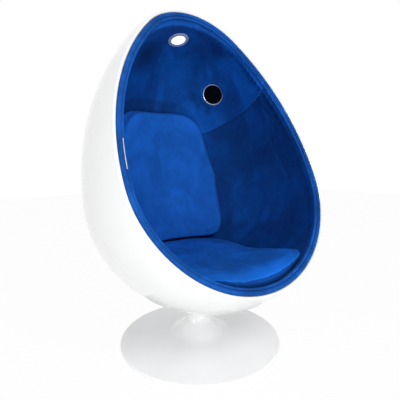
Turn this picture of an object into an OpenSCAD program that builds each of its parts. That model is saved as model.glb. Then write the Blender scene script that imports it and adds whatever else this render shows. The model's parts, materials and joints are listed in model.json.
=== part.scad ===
// Pod chair: an egg-shaped lounge shell on a round trumpet base, padded and lined
// inside, with two loose cushions, two speakers and a ceiling light. The pod turns
// on a spindle in the base. Millimetres, floor at z = 0, swivel axis on x = y = 0,
// and the pod's mouth faces -Y.

/* [Pod shell] */
// Radius of the pod at its widest ring
pod_r = 445; // [430:5:465]
// Height of the pod's tip above its widest ring, along the pod's own axis
pod_top = 688; // [670:4:704]
// Depth of the pod's bottom below its widest ring
pod_drop = 427; // [421:2:433]
// Radius of the pod's lower shoulder, seen from the side
shoulder_r = 378; // [370:2:384]
// How far the centre of the long side arc lies past the pod's axis
side_bow = 440; // [410:10:470]
// Lean of the pod's axis, in degrees
pod_lean = 18.5; // [16:0.5:21]
// Tilt of the mouth's plane against the pod's axis, in degrees
mouth_tilt = 6; // [4:0.5:8]
// Distance from the pod's centre to the mouth's plane
mouth_dist = 170; // [160:5:180]
// How far the pod's centre lies in front of the swivel axis
pod_fore = 70; // [60:2:80]
// Wall of the moulded shell
shell_wall = 6; // [4:0.5:8]
// Width of the white lip around the mouth
lip_w = 10; // [8:0.5:12]
// Depth of the white lip behind the mouth's plane
lip_deep = 8; // [6:0.5:10]

/* [Padding and lining] */
// Thickness of the foam against the shell
foam_thick = 25.6; // [20:0.2:32]
// Thickness of the velvet lining with its backing
lining_thick = 2.7; // [2:0.1:4]
// Extra foam over the head, at the pod's tip
crown_fill = 28; // [16:2:36]
// Height of the seam between crown and side linings, on the pod's axis
seam_up = 375; // [360:5:390]
// Fall of that seam towards the back, in degrees
seam_fall = 8.5; // [5:0.5:11]
// Lean of the crown's middle seam to the left, in degrees
crown_seam_lean = 9; // [0:1:14]
// Diameter of the wide welt inside the white lip
outer_welt_d = 14; // [12:0.5:15]
// Diameter of the narrow welt inside the wide one
inner_welt_d = 10; // [8:0.5:11]
// Small space between neighbouring layers
layer_gap = 0.3; // [0.2:0.1:0.4]

/* [Cushions] */
// Thickness of the back cushion
back_thick = 72; // [55:1:85]
// Half width of the back cushion, measured around the pod
back_half_w = 287; // [260:1:300]
// Height of the back cushion's lower edge on the pod's axis
back_low = -127; // [-127:1:-110]
// Height of the back cushion's upper edge on the pod's axis
back_high = 454; // [430:2:470]
// Height of the seat cushion's front edge above the seat board
seat_thick = 97; // [86:1:98]
// Extra height of the seat cushion's front corners
seat_corner_lift = 36; // [10:1:38]
// Drop of the seat cushion's sides
seat_side_dip = 27; // [10:1:32]
// Distance of the seat cushion's front behind the mouth's plane
seat_setback = 17; // [15:1:40]

/* [Seat board and amplifier] */
// Height of the seat board's top above the pod's underside at the swivel axis
deck_up = 86; // [80:1:96]
// Thickness of the seat board
deck_thick = 12; // [9:1:15]
// Size of the amplifier case
amp_size = [150, 96, 38]; // [30:1:180]
// How far the amplifier's middle hangs in front of the seat board's middle
amp_fore = 64; // [58:1:68]
// Radius of the power inlet's body
inlet_r = 11; // [9:0.5:13]

/* [Speakers and light] */
// Turn of each speaker from the pod's back, in degrees
speaker_turn = 61.5; // [55:0.5:68]
// Rise of each speaker along the side arc, in degrees
speaker_rise = 34.3; // [32:0.1:36]
// Outer radius of the speaker's bright ring
speaker_r = 46.5; // [40:0.5:50]
// Width of the speaker's bright ring
speaker_ring_w = 4; // [3:0.5:6]
// Outer radius of the ceiling light's ring
light_r = 41; // [36:0.5:46]
// Radius of the ceiling light's lens
light_lens_r = 28.5; // [24:0.5:32]

/* [Base] */
// Radius of the base at its edge
base_r = 315; // [290:5:330]
// Height of the neck's top above the floor
neck_top = 115; // [110:1:122]
// Outer radius of the neck
neck_r = 46; // [45:0.5:50]
// Radius of the hollow curve below the neck
neck_arc_r = 48; // [44:1:52]
// Length of the straight slope between the two hollow curves
neck_slope = 39.6; // [34:0.4:44]
// Radius of the hollow curve where the neck meets the disc
foot_arc_r = 70; // [60:1:76]
// Radius of the rounded edge of the base
base_edge_r = 5; // [4:0.25:6]
// Wall of the base's cover
cover_wall = 4; // [3:0.25:5]
// Gap between the cover's edge and the floor
cover_lift = 0.6; // [0.4:0.1:1.2]
// Thickness of the steel plate in the base
plate_thick = 9; // [7:1:10]
// Thickness of the rubber foot ring
foot_ring_h = 3; // [2:0.5:4]

/* [Swivel] */
// Radius of the steel spindle
spindle_r = 24; // [20:0.5:25]
// Radial clearance of the spindle in its bushes
bush_clear = 0.05; // [0.03:0.01:0.08]
// Outer radius of the steel column
column_r = 36; // [35:0.5:38]
// Wall of the steel column
column_wall = 6; // [4:0.5:7]
// Visible gap between the neck and the pod's collar
swivel_gap = 3; // [2:0.5:4]
// Height of the hub between that gap and the pod's underside
hub_h = 51.2; // [48:0.4:56]
// Diameter of the bearing balls
ball_d = 4.9; // [4:0.1:4.9]
// Number of bearing balls
ball_count = 16; // [10:1:18]

/* [Hidden] */

WHITE = [0.95, 0.95, 0.94];
VELVET = [0.06, 0.26, 0.62];
STEEL = [0.62, 0.64, 0.66];
DARK = [0.05, 0.05, 0.06];
FOAM = [0.87, 0.82, 0.62];
PLY = [0.76, 0.60, 0.40];

$fn = 96;
fine = 180;
// Place of the crown seam's pivot between the side seam and the pod's tip
seam_pivot_share = 0.3625;
// Reach of every cutting solid, past the whole pod
big = 3 * pod_r;
// Overrun of small cuts past a face
over = 1;
// Overrun of the tighter arcs past the wide ones, where the pod's outline changes arc
arc_over = 0.05;

// Pod outline: arcs that meet smoothly at the widest ring, above and below it
shoulder_x = pod_r - shoulder_r;
shoulder_rest = pod_drop - shoulder_r;
pole_up = (shoulder_x * shoulder_x - shoulder_rest * shoulder_rest) / (2 * shoulder_rest);
pole_r = pole_up + pod_drop;
pole_turn = atan2(pole_up, shoulder_x);
side_r = pod_r + side_bow;

// Radius of the tip's arc for a layer at depth t whose tip is dropped by f
function tip_r(t, f) = let (s = side_r - t, top = pod_top - t - f)
  (s * s - side_bow * side_bow - top * top) / (2 * (s - top));
function tip_up(t, f) = pod_top - t - f - tip_r(t, f);
function tip_turn(t, f) = atan2(tip_up(t, f), side_bow);
// Height where the pole's arc meets the shoulder's
function pole_seam(t) = pole_up - (pole_r - t) * sin(pole_turn);

// Distance of a layer from the pod's axis at height w, or below zero past its ends
function wall_r(w, t, f) =
  w >= (side_r - t) * sin(tip_turn(t, f))
    ? let (q = pow(tip_r(t, f), 2) - pow(w - tip_up(t, f), 2)) (q > 0 ? sqrt(q) : -pod_r)
  : w >= 0 ? sqrt(pow(side_r - t, 2) - w * w) - side_bow
  : w >= pole_seam(t) ? shoulder_x + sqrt(pow(shoulder_r - t, 2) - w * w)
  : let (q = pow(pole_r - t, 2) - pow(w - pole_up, 2)) (q > 0 ? sqrt(q) : -pod_r);

// Depths of the layers, measured inwards from the pod's outer face
foam_out = shell_wall + layer_gap;
foam_in = foam_out + foam_thick;
lining_out = foam_in + layer_gap;
lining_in = lining_out + lining_thick;

// Base heights
plate_z = foot_ring_h;
plate_top = plate_z + plate_thick;
race_thick = 3;
ball_space = 5;
race_z = neck_top - ball_space - race_thick;
pod_bottom = neck_top + swivel_gap;
under_z = pod_bottom + hub_h;

// Place of the pod's centre: the pole's sphere passes through the hub's top
pole_y = -pod_fore + pole_up * sin(pod_lean);
pole_z = under_z + sqrt(pole_r * pole_r - pole_y * pole_y);
pod_z = pole_z - pole_up * cos(pod_lean);
deck_z = under_z + deck_up;

// A point in the pod's own axes, told in the part's axes
function to_world(p) = [
  p[0],
  -pod_fore + p[1] * cos(pod_lean) + p[2] * sin(pod_lean),
  pod_z - p[1] * sin(pod_lean) + p[2] * cos(pod_lean)
];

module in_pod() {
  translate([0, -pod_fore, pod_z]) rotate([-pod_lean, 0, 0]) children();
}

// The pod's solid at depth t, with its tip dropped by f
module egg(t, f = 0) {
  rotate_extrude($fn = fine) intersection() {
    translate([shoulder_x, 0]) circle(r = shoulder_r - t + arc_over);
    translate([0, -big]) square([big, 2 * big]);
  }
  rotate_extrude($fn = fine) intersection() {
    translate([-side_bow, 0]) circle(r = side_r - t);
    square([big, (side_r - t) * sin(tip_turn(t, f))]);
  }
  translate([0, 0, tip_up(t, f)]) sphere(r = tip_r(t, f) + arc_over, $fn = fine);
  intersection() {
    translate([0, 0, pole_up]) sphere(r = pole_r - t, $fn = fine);
    translate([0, 0, pole_seam(t) - big]) cylinder(r = big, h = big);
  }
}

// The sphere that the pod's bottom is part of, in the part's axes
module pole_ball(t) {
  translate([0, pole_y, pole_z]) sphere(r = pole_r - t, $fn = fine);
}

// Everything behind the mouth's plane, in the pod's axes
module behind_mouth(deep = 0) {
  rotate([-mouth_tilt, 0, 0])
    translate([-big, -mouth_dist + deep, -big]) cube(2 * big);
}

// The right side of the pod, up to a middle plane that can lean to the left
module right_side(gap, lean = 0) {
  translate([0, 0, seam_pivot]) rotate([0, -lean, 0])
    translate([gap, -big, -big]) cube([big, 2 * big, 2 * big]);
}

// A panel drawn for the right side goes to the left where s is -1
module to_side(s) {
  mirror([s < 0 ? 1 : 0, 0, 0]) children();
}

// Above the seam between crown and sides, in the pod's axes
module above_seam(gap) {
  translate([0, 0, seam_up + gap]) rotate([-seam_fall, 0, 0])
    translate([-big, -big, 0]) cube(2 * big);
}

// Height where the crown's leaning seam crosses the middle plane
seam_pivot = (seam_up + pod_top) * seam_pivot_share;

// Holes of the two speakers and the ceiling light through foam and lining
speaker_hole_r = speaker_r + layer_gap;
light_wall = 2;
light_can_r = light_lens_r + light_wall;
light_hole_r = light_can_r + layer_gap;

module on_wall(turn, rise, t) {
  rotate([0, 0, -turn])
    translate([0, (side_r - t) * cos(rise) - side_bow, (side_r - t) * sin(rise)])
      rotate([90 + rise, 0, 0]) children();
}

module fitting_holes() {
  for (s = [-1, 1])
    on_wall(s * speaker_turn, speaker_rise, lining_in)
      translate([0, 0, -lining_in + shell_wall / 2])
        cylinder(r = speaker_hole_r, h = 2 * lining_in);
  translate([0, 0, tip_up(lining_in, crown_fill)])
    cylinder(r = light_hole_r, h = pod_top);
}

// Leads lie at this depth, in slots between the foam panels
lead_deep = 14.5;
lead_r = 2.5;
channel_clear = 3;
channel_w = 2 * lead_r + channel_clear;
lead_w = (side_r - lead_deep) * sin(speaker_rise);
lead_ring_r = wall_r(lead_w, lead_deep, 0);

// Everything above the seat board, in the part's axes
module above_board(gap) {
  translate([-big, -big, deck_z + gap]) cube(2 * big);
}

// Distance of the padding's edge behind the mouth's plane
edge_gap = 6.3;
edge_deep = lip_deep + edge_gap;

module foam_crown(s) {
  color(FOAM) to_side(s) in_pod() difference() {
    intersection() {
      egg(foam_out);
      behind_mouth(edge_deep);
      right_side(channel_w / 2);
      translate([-big, -big, lead_w + channel_w / 2]) cube(2 * big);
    }
    egg(foam_in, crown_fill);
    fitting_holes();
  }
}

module foam_side(s) {
  color(FOAM) to_side(s) intersection() {
    in_pod() difference() {
      intersection() {
        egg(foam_out);
        behind_mouth(edge_deep);
        right_side(channel_w / 2);
        translate([-big, -big, lead_w - channel_w / 2 - 2 * big]) cube(2 * big);
      }
      egg(foam_in, crown_fill);
      fitting_holes();
    }
    above_board(layer_gap);
  }
}

module lining_panel(s, crown) {
  to_side(s) intersection() {
    in_pod() difference() {
      intersection() {
        difference() {
          egg(lining_out, crown_fill);
          egg(lining_in, crown_fill);
        }
        behind_mouth(edge_deep);
        right_side(layer_gap / 2, crown ? s * crown_seam_lean : 0);
        if (crown) above_seam(layer_gap);
      }
      if (!crown) above_seam(0);
      if (crown) fitting_holes();
    }
    above_board(layer_gap);
  }
}

module foam_crown_left() { foam_crown(-1); }
module foam_crown_right() { foam_crown(1); }
module foam_side_left() { foam_side(-1); }
module foam_side_right() { foam_side(1); }
module lining_crown_left() { color(VELVET) lining_panel(-1, true); }
module lining_crown_right() { color(VELVET) lining_panel(1, true); }
module lining_side_left() { color(VELVET) lining_panel(-1, false); }
module lining_side_right() { color(VELVET) lining_panel(1, false); }

// Bolts that hold the pod on its hub
bolt_r = 5;
bolt_ring_r = 38;
bolt_clear = 0.25;
bolt_head_r = 8.5;
bolt_head_h = 6;
nut_h = 8;

module at_bolts() {
  for (i = [0:3]) rotate([0, 0, 45 + 90 * i]) translate([bolt_ring_r, 0, 0]) children();
}

// Place of the power inlet on the pod's bottom sphere, low at the back
inlet_turn = 50;
inlet_rim = 4;
inlet_flange_r = inlet_r + inlet_rim;
inlet_flange_h = 2.5;
inlet_deep = 20;
inlet_clear = 0.3;

module at_inlet() {
  in_pod() translate([0, 0, pole_up]) rotate([90 - inlet_turn, 0, 0])
    rotate([180, 0, 0]) children();
}

module shell() {
  color(WHITE) difference() {
    in_pod() difference() {
      intersection() {
        egg(0);
        behind_mouth();
      }
      intersection() {
        egg(shell_wall);
        behind_mouth(lip_deep);
      }
      egg(lip_w);
    }
    translate([0, 0, under_z - hub_h / 2]) at_bolts()
      cylinder(r = bolt_r + bolt_clear, h = hub_h);
    at_inlet() translate([0, 0, pole_r - 2 * shell_wall])
      cylinder(r = inlet_r + inlet_clear, h = 4 * shell_wall);
  }
}

// Welts: tubes swept around the mouth, on a layer at depth t, deep behind its plane
mouth_mid_share = 0.22;
mouth_mid = mouth_mid_share * pod_top;

function mouth_point(turn, s, deep) = let (
    across = s * cos(turn),
    up = mouth_mid + s * sin(turn),
    d = mouth_dist - deep
  ) [across, -d * cos(mouth_tilt) + up * sin(mouth_tilt), d * sin(mouth_tilt) + up * cos(mouth_tilt)];

function is_out(p, t) = norm([p[0], p[1]]) > wall_r(p[2], t, 0);

function rim_search(turn, t, deep, lo, hi, n) = let (mid = (lo + hi) / 2)
  n == 0 ? mid
  : is_out(mouth_point(turn, mid, deep), t) ? rim_search(turn, t, deep, lo, mid, n - 1)
  : rim_search(turn, t, deep, mid, hi, n - 1);

function rim_point(turn, t, deep) =
  mouth_point(turn, rim_search(turn, t, deep, 0, 2 * pod_r, 30), deep);

mouth_normal = [0, -cos(mouth_tilt), sin(mouth_tilt)];

function unit(v) = v / norm(v);

// One ring of a swept tube, around the rim's point at this turn
function tube_ring(turn, t, deep, r, sides) = let (
    p = rim_point(turn, t, deep),
    along = unit(rim_point(turn + 1, t, deep) - rim_point(turn - 1, t, deep)),
    side = cross(along, mouth_normal)
  ) [for (k = [0:sides - 1]) p + r * (cos(360 * k / sides) * side + sin(360 * k / sides) * mouth_normal)];

function join_rings(a, b, n) = [for (k = [0:n - 1])
  let (m = (k + 1) % n) each [[a * n + k, a * n + m, b * n + m], [a * n + k, b * n + m, b * n + k]]];

module welt(t, deep, r, rings = 96, sides = 8) {
  pts = [for (i = [0:rings - 1]) each tube_ring(360 * i / rings, t, deep, r, sides)];
  faces = [for (i = [0:rings - 1]) each join_rings(i, (i + 1) % rings, sides)];
  in_pod() polyhedron(points = pts, faces = faces, convexity = 8);
}

outer_welt_in = lip_w + layer_gap + outer_welt_d / 2;
inner_welt_in = outer_welt_in + outer_welt_d / 2 + layer_gap + inner_welt_d / 2;
welt_proud = 2;
outer_welt_deep = outer_welt_d / 2 - welt_proud;
inner_welt_deep = edge_deep - layer_gap - inner_welt_d / 2;

module outer_welt() { color(VELVET) welt(outer_welt_in, outer_welt_deep, outer_welt_d / 2); }
module inner_welt() { color(VELVET) welt(inner_welt_in, inner_welt_deep, inner_welt_d / 2); }

// Short length of pale strip that shows in the groove between the welts, on the left
strip_r = 1.2;
strip_from = 184;
strip_to = 197;
strip_rings = 14;
strip_sides = 6;
strip_in = outer_welt_in + outer_welt_d / 2 + strip_r / 2;

module edge_strip() {
  n = strip_sides;
  step = (strip_to - strip_from) / (strip_rings - 1);
  pts = [for (i = [0:strip_rings - 1])
    each tube_ring(strip_from + step * i, strip_in, strip_r, strip_r, n)];
  walls = [for (i = [0:strip_rings - 2]) each join_rings(i, i + 1, n)];
  last = (strip_rings - 1) * n;
  caps = [for (k = [1:n - 2]) each [[0, k + 1, k], [last, last + k, last + k + 1]]];
  color(WHITE) in_pod() polyhedron(points = pts, faces = concat(walls, caps), convexity = 4);
}

// Closed skin through rings of equal length, with a point at each end
function skin_faces(rings, n) = concat(
  [for (k = [0:n - 1]) [0, 1 + (k + 1) % n, 1 + k]],
  [for (i = [0:rings - 2], k = [0:n - 1]) let (m = (k + 1) % n, a = 1 + i * n, b = a + n)
    each [[a + k, a + m, b + m], [a + k, b + m, b + k]]],
  [for (k = [0:n - 1]) let (a = 1 + (rings - 1) * n) [rings * n + 1, a + k, a + (k + 1) % n]]
);

// Seat cushion: fills the bowl above the seat board. Its front edge follows the
// mouth, its front corners curl up the wall and its sides dip between them and the
// back. Each ring goes around the cushion; turn 0 points to the front.
seat_gap = 0.5;
seat_low_z = deck_z + layer_gap;
seat_edge_z = deck_z + seat_thick;
seat_round = 10;
seat_draw = 3;
seat_crown = 9;
seat_back_lift = 6;
seat_corner_turn = 45;
seat_corner_spread = 22;
seat_dip_turn = 100;
seat_dip_spread = 26;
seat_blend = 24;
seat_turns = 64;
bowl_r = pole_r - lining_in - seat_gap;

function soft_min(a, b, k) = let (h = max(k - abs(a - b), 0) / k) min(a, b) - h * h * k / 4;
function hump(a, mid, spread) = exp(-pow((a - mid) / spread, 2));

function bowl_reach(z) = sqrt(max(bowl_r * bowl_r - pow(pole_z - z, 2), 0));
function front_reach(turn, z) = let (
    lean = pod_lean + mouth_tilt,
    y = -pod_fore - (mouth_dist - seat_setback - sin(lean) * (z - pod_z)) / cos(lean)
  ) cos(turn) > 0.05 ? (pole_y - y) / cos(turn) : big;
function seat_reach(turn, z) = soft_min(bowl_reach(z), front_reach(turn, z), seat_blend);
function seat_rim_z(turn) = let (a = abs(turn > 180 ? turn - 360 : turn))
  seat_edge_z + seat_corner_lift * hump(a, seat_corner_turn, seat_corner_spread)
    - seat_side_dip * hump(a, seat_dip_turn, seat_dip_spread)
    + seat_back_lift * (1 - cos(a)) / 2;

side_steps = 5;
round_steps = 3;
top_shares = [0.88, 0.7, 0.48, 0.25];

function seat_point(turn, r, z) = [r * sin(turn), pole_y - r * cos(turn), z];
function seat_side(turn, k) = let (
    top = seat_rim_z(turn) - seat_round,
    z = seat_low_z + (top - seat_low_z) * k / side_steps
  ) seat_point(turn, seat_reach(turn, z) - seat_draw * sin(180 * k / side_steps), z);
function seat_shoulder(turn, k) = let (
    top = seat_rim_z(turn),
    a = 90 * k / round_steps
  ) seat_point(turn, seat_reach(turn, top - seat_round) - seat_round * (1 - cos(a)),
    top - seat_round * (1 - sin(a)));
function seat_top(turn, s) = let (
    top = seat_rim_z(turn),
    mid = seat_edge_z + seat_crown
  ) seat_point(turn, (seat_reach(turn, top - seat_round) - seat_round) * s,
    mid + (top - mid) * s * s * s);

module seat_cushion() {
  n = seat_turns;
  turns = [for (i = [0:n - 1]) 360 * i / n];
  pts = concat(
    [[0, pole_y, seat_low_z]],
    [for (k = [0:side_steps]) each [for (a = turns) seat_side(a, k)]],
    [for (k = [1:round_steps]) each [for (a = turns) seat_shoulder(a, k)]],
    [for (s = top_shares) each [for (a = turns) seat_top(a, s)]],
    [[0, pole_y, seat_edge_z + seat_crown]]
  );
  rings = side_steps + 1 + round_steps + len(top_shares);
  color(VELVET) polyhedron(points = pts, faces = skin_faces(rings, n), convexity = 6);
}

// Back cushion: a boxed pad that follows the pod's wall. Its outline is a rounded
// oblong that narrows upwards, and its lower edge stands level on the seat cushion.
// Each ring has its share of the outline and its share of the thickness.
back_turns = 60;
back_gap = 0.5;
back_square_low = 5.8;
back_square_high = 2.8;
back_slant = 36;
back_taper_share = 0.12;
back_wide_share = 0.46;
back_mid = back_low + (back_high - back_low) * back_wide_share;
back_ring_shares = [
  [0.4, 0], [0.75, 0], [0.94, 0], [1, 0.1], [0.985, 0.45], [1, 0.8],
  [0.975, 0.91], [0.9, 0.97], [0.75, 1.01], [0.5, 1.05], [0.25, 1.07]
];
back_crown_share = 1.08;

function back_point(turn, s, f) = let (
    n = sin(turn) < 0 ? back_square_low : back_square_high,
    o = s * pow(pow(abs(cos(turn)), n) + pow(abs(sin(turn)), n), -1 / n),
    v = o * sin(turn),
    t = lining_in + back_gap + back_thick * f,
    rest = lining_in + back_gap + back_thick / 2,
    span = v > 0 ? back_high - back_slant * f - back_mid : back_mid - back_low,
    w = back_mid + v * span,
    taper = 1 - back_taper_share * sin(min(150 * max(v, 0), 90)),
    around = back_half_w * taper * o * cos(turn) / wall_r(w, rest, crown_fill) * 180 / PI,
    inset = wall_r(w, rest, crown_fill) - wall_r(w, t, crown_fill) * cos(around),
    level = w - (v < 0 ? v * v * inset * tan(pod_lean) : 0),
    r = wall_r(level, t, crown_fill)
  ) to_world([r * sin(around), r * cos(around), level]);

module back_cushion() {
  n = back_turns;
  turns = [for (i = [0:n - 1]) 360 * i / n];
  pts = concat(
    [back_point(0, 0, 0)],
    [for (p = back_ring_shares) each [for (a = turns) back_point(a, p[0], p[1])]],
    [back_point(0, 0, back_crown_share)]
  );
  faces = skin_faces(len(back_ring_shares), n);
  color(VELVET) polyhedron(points = pts, faces = faces, convexity = 6);
}

// Seat board, its blocks and screws
board_screw_r = 2;
board_head_r = 4;
block_size = [44, 30];
block_in = 24;

module at_blocks() {
  for (i = [0:3]) rotate([0, 0, 45 + 90 * i]) children();
}

board_low = deck_z - deck_thick;
board_edge_r = sqrt(pow(pole_r - foam_out, 2) - pow(pole_z - board_low, 2));
block_mid = board_edge_r - block_in;
notch_clear = 4;
notch_r = lead_r + notch_clear;

module screw(head_r, r, length) {
  cylinder(r1 = head_r, r2 = r, h = head_r - r);
  cylinder(r = r, h = length);
}

module under_screw(head_r, r, length) {
  rotate([180, 0, 0]) screw(head_r, r, length);
}

board_bite = 14;
amp_bite = 6;
board_screw_len = deck_thick + board_bite;
amp_screw_len = deck_thick + amp_bite;
amp_y = pole_y - amp_fore;
amp_inset = 9;

module at_board_screws() {
  translate([0, pole_y, deck_z]) at_blocks() translate([block_mid, 0, 0]) children();
}

module at_amp_screws() {
  for (x = [-1, 1], y = [-1, 1])
    translate([x * (amp_size[0] / 2 - amp_inset), amp_y + y * (amp_size[1] / 2 - amp_inset), deck_z])
      children();
}

module seat_board() {
  color(PLY) difference() {
    intersection() {
      pole_ball(foam_out);
      translate([-big, -big, board_low]) cube([2 * big, 2 * big, deck_thick]);
    }
    at_board_screws() under_screw(board_head_r, board_screw_r, board_screw_len);
    at_amp_screws() under_screw(board_head_r, board_screw_r, amp_screw_len);
    translate([0, loom_notch_y, board_low - over])
      cylinder(r = notch_r, h = deck_thick + 2 * over);
    translate([-notch_r, loom_notch_y, board_low - over])
      cube([2 * notch_r, pod_r, deck_thick + 2 * over]);
  }
}

module board_blocks() {
  color(PLY) difference() {
    intersection() {
      translate([0, pole_y, 0]) at_blocks()
        translate([block_mid - block_size[0] / 2, -block_size[1] / 2, under_z])
          cube([block_size[0], block_size[1], board_low - under_z]);
      pole_ball(shell_wall);
    }
    at_board_screws() under_screw(board_head_r, board_screw_r, board_screw_len);
  }
}

module board_screws() {
  color(STEEL) at_board_screws() under_screw(board_head_r, board_screw_r, board_screw_len);
}

// Amplifier: a flat case that hangs under the seat board
amp_wall = 2;
amp_top = board_low;
amp_low = amp_top - amp_size[2];

module amplifier_case() {
  color(DARK) difference() {
    translate([-amp_size[0] / 2, amp_y - amp_size[1] / 2, amp_low + amp_wall])
      cube([amp_size[0], amp_size[1], amp_size[2] - amp_wall]);
    translate([-amp_size[0] / 2 + 2 * amp_inset, amp_y - amp_size[1] / 2 + amp_wall, amp_low])
      cube([amp_size[0] - 4 * amp_inset, amp_size[1] - 2 * amp_wall, amp_size[2] - 3 * amp_wall]);
    at_amp_screws() under_screw(board_head_r, board_screw_r, amp_screw_len);
  }
}

module amplifier_lid() {
  color(STEEL) translate([-amp_size[0] / 2, amp_y - amp_size[1] / 2, amp_low])
    cube([amp_size[0], amp_size[1], amp_wall]);
}

module amplifier_screws() {
  color(STEEL) at_amp_screws() under_screw(board_head_r, board_screw_r, amp_screw_len);
}

// Power inlet in the shell, with its nut inside
module power_inlet() {
  color(DARK) at_inlet() difference() {
    union() {
      translate([0, 0, pole_r]) cylinder(r = inlet_flange_r, h = inlet_flange_h);
      translate([0, 0, pole_r - inlet_deep]) cylinder(r = inlet_r, h = inlet_deep + over);
    }
    translate([0, 0, pole_r - inlet_deep / 2]) cylinder(r = inlet_r / 2, h = inlet_deep);
  }
}

inlet_nut_h = 4;

module inlet_nut() {
  color(STEEL) at_inlet() translate([0, 0, pole_r - shell_wall - inlet_nut_h - layer_gap])
    difference() {
      cylinder(r = inlet_flange_r, h = inlet_nut_h, $fn = 6);
      translate([0, 0, -over]) cylinder(r = inlet_r + bush_clear, h = inlet_nut_h + 2 * over);
    }
}

// Leads: down the pod's back between the foam halves, with branches to both
// speakers, then under the seat board to the amplifier. Ties join the runs.
loom_turn = 42;
tie_r = 3.7;
tie_reach = 1.5;
loom_side = 14;
loom_end = to_world([0, (pole_r - lead_deep) * cos(loom_turn),
  pole_up - (pole_r - lead_deep) * sin(loom_turn)]);
loom_notch_y = loom_end[1];
run_z = board_low - lead_r - layer_gap;
amp_port = [amp_size[0] / 2, amp_y, run_z];
loom_corner = amp_port + [loom_side, 0, 0];
loom_bend = [loom_corner[0], loom_notch_y / 2, run_z];

// An arc of lead in the pod's middle plane. Its ends stop short, inside the ties.
module lead_arc(y, w, r, from, to) {
  trim = atan(tie_reach / r);
  in_pod() translate([0, y, w]) rotate([90, 0, 90]) rotate([0, 0, from + trim])
    rotate_extrude(angle = to - from - 2 * trim, $fn = fine)
      translate([r, 0]) circle(r = lead_r, $fn = 24);
}

module tie(p) {
  translate(p) sphere(r = tie_r, $fn = 24);
}

module arc_tie(y, w, r, turn) {
  tie(to_world([0, y + r * cos(turn), w + r * sin(turn)]));
}

module rod(a, b, r) {
  d = b - a;
  translate(a) rotate([0, acos(d[2] / norm(d)), atan2(d[1], d[0])])
    cylinder(r = r, h = norm(d), $fn = 24);
}

// A branch runs from the back's middle around to the speaker's magnet
module speaker_branch(s) {
  trim = atan(tie_reach / lead_ring_r);
  stop = speaker_turn - asin((magnet_r + layer_gap) / lead_ring_r);
  in_pod() translate([0, 0, lead_w]) rotate([0, 0, s > 0 ? 90 - stop : 90 + trim])
    rotate_extrude(angle = stop - trim, $fn = fine)
      translate([lead_ring_r, 0]) circle(r = lead_r, $fn = 24);
}

module wiring_loom() {
  d = lead_deep;
  top = acos((light_can_r + layer_gap) / tip_r(d, 0));
  color(DARK) {
    lead_arc(0, tip_up(d, 0), tip_r(d, 0), tip_turn(d, 0), top);
    lead_arc(-side_bow, 0, side_r - d, speaker_rise, tip_turn(d, 0));
    lead_arc(-side_bow, 0, side_r - d, 0, speaker_rise);
    lead_arc(shoulder_x, 0, shoulder_r - d, -pole_turn, 0);
    lead_arc(0, pole_up, pole_r - d, -loom_turn, -pole_turn);
    arc_tie(-side_bow, 0, side_r - d, tip_turn(d, 0));
    arc_tie(-side_bow, 0, side_r - d, speaker_rise);
    arc_tie(-side_bow, 0, side_r - d, 0);
    arc_tie(0, pole_up, pole_r - d, -pole_turn);
    tie(loom_end);
    tie(loom_bend);
    tie(loom_corner);
    speaker_branch(-1);
    speaker_branch(1);
    rod(loom_end, loom_bend, lead_r);
    rod(loom_bend, loom_corner, lead_r);
    rod(loom_corner, amp_port, lead_r);
  }
}

// Lead from the power inlet to the amplifier
function on_inlet(deep) = to_world([0, (pole_r - deep) * cos(inlet_turn),
  pole_up - (pole_r - deep) * sin(inlet_turn)]);
inlet_straight = 10;
inlet_end = on_inlet(inlet_deep);
inlet_neck = on_inlet(inlet_deep + inlet_straight);
inlet_lead_low = 8;
inlet_lead_back = 20;
inlet_port = [0, amp_y + amp_size[1] / 2, amp_low + inlet_lead_low];
inlet_bend = inlet_port + [0, inlet_lead_back, 0];

module inlet_lead() {
  color(DARK) {
    rod(inlet_end, inlet_neck, lead_r);
    tie(inlet_neck);
    rod(inlet_neck, inlet_bend, lead_r);
    tie(inlet_bend);
    rod(inlet_bend, inlet_port, lead_r);
  }
}

// Backing pad inside the shell, the nuts in its pockets, and the bolts
pad_r = 56;
pad_up = 26;
pad_top = under_z + pad_up;
pocket_r = 11;
flange_drop = 18;
flange_z = under_z - flange_drop;
flange_thick = 8;

module backing_pad() {
  color(STEEL) difference() {
    intersection() {
      translate([0, 0, under_z - hub_h / 2]) cylinder(r = pad_r, h = pad_top - under_z + hub_h / 2);
      pole_ball(shell_wall);
    }
    translate([0, 0, under_z - hub_h / 2]) at_bolts() cylinder(r = bolt_r + bolt_clear, h = hub_h);
    translate([0, 0, pad_top - nut_h]) at_bolts() cylinder(r = pocket_r, h = nut_h + over);
  }
}

module pod_nuts() {
  color(STEEL) translate([0, 0, pad_top - nut_h]) at_bolts() difference() {
    cylinder(r = bolt_head_r, h = nut_h, $fn = 6);
    translate([0, 0, -over]) cylinder(r = bolt_r, h = nut_h + 2 * over);
  }
}

module pod_bolts() {
  color(STEEL) at_bolts() {
    translate([0, 0, flange_z - bolt_head_h]) cylinder(r = bolt_head_r, h = bolt_head_h, $fn = 6);
    translate([0, 0, flange_z - over]) cylinder(r = bolt_r, h = pad_top - flange_z + over);
  }
}

// Hub casting: a wedge between the spindle's flange and the pod's round bottom
hub_r = 52;

module hub_casting() {
  color(STEEL) difference() {
    translate([0, 0, flange_z + flange_thick]) cylinder(r = hub_r, h = hub_h);
    pole_ball(0);
    translate([0, 0, flange_z]) at_bolts() cylinder(r = bolt_r + bolt_clear, h = hub_h);
  }
}

// Spindle: the shaft, its bearing shoulder and the flange under the hub casting
spindle_gap = 4;
spindle_low = plate_top + spindle_gap;
clip_thick = 2;
clip_deep = 3;
clip_up = 3;
washer_thick = 2;
shoulder_h = 6;
shoulder_over = 2;
stem_r = 27;
clip_z = spindle_low + clip_up;

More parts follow.
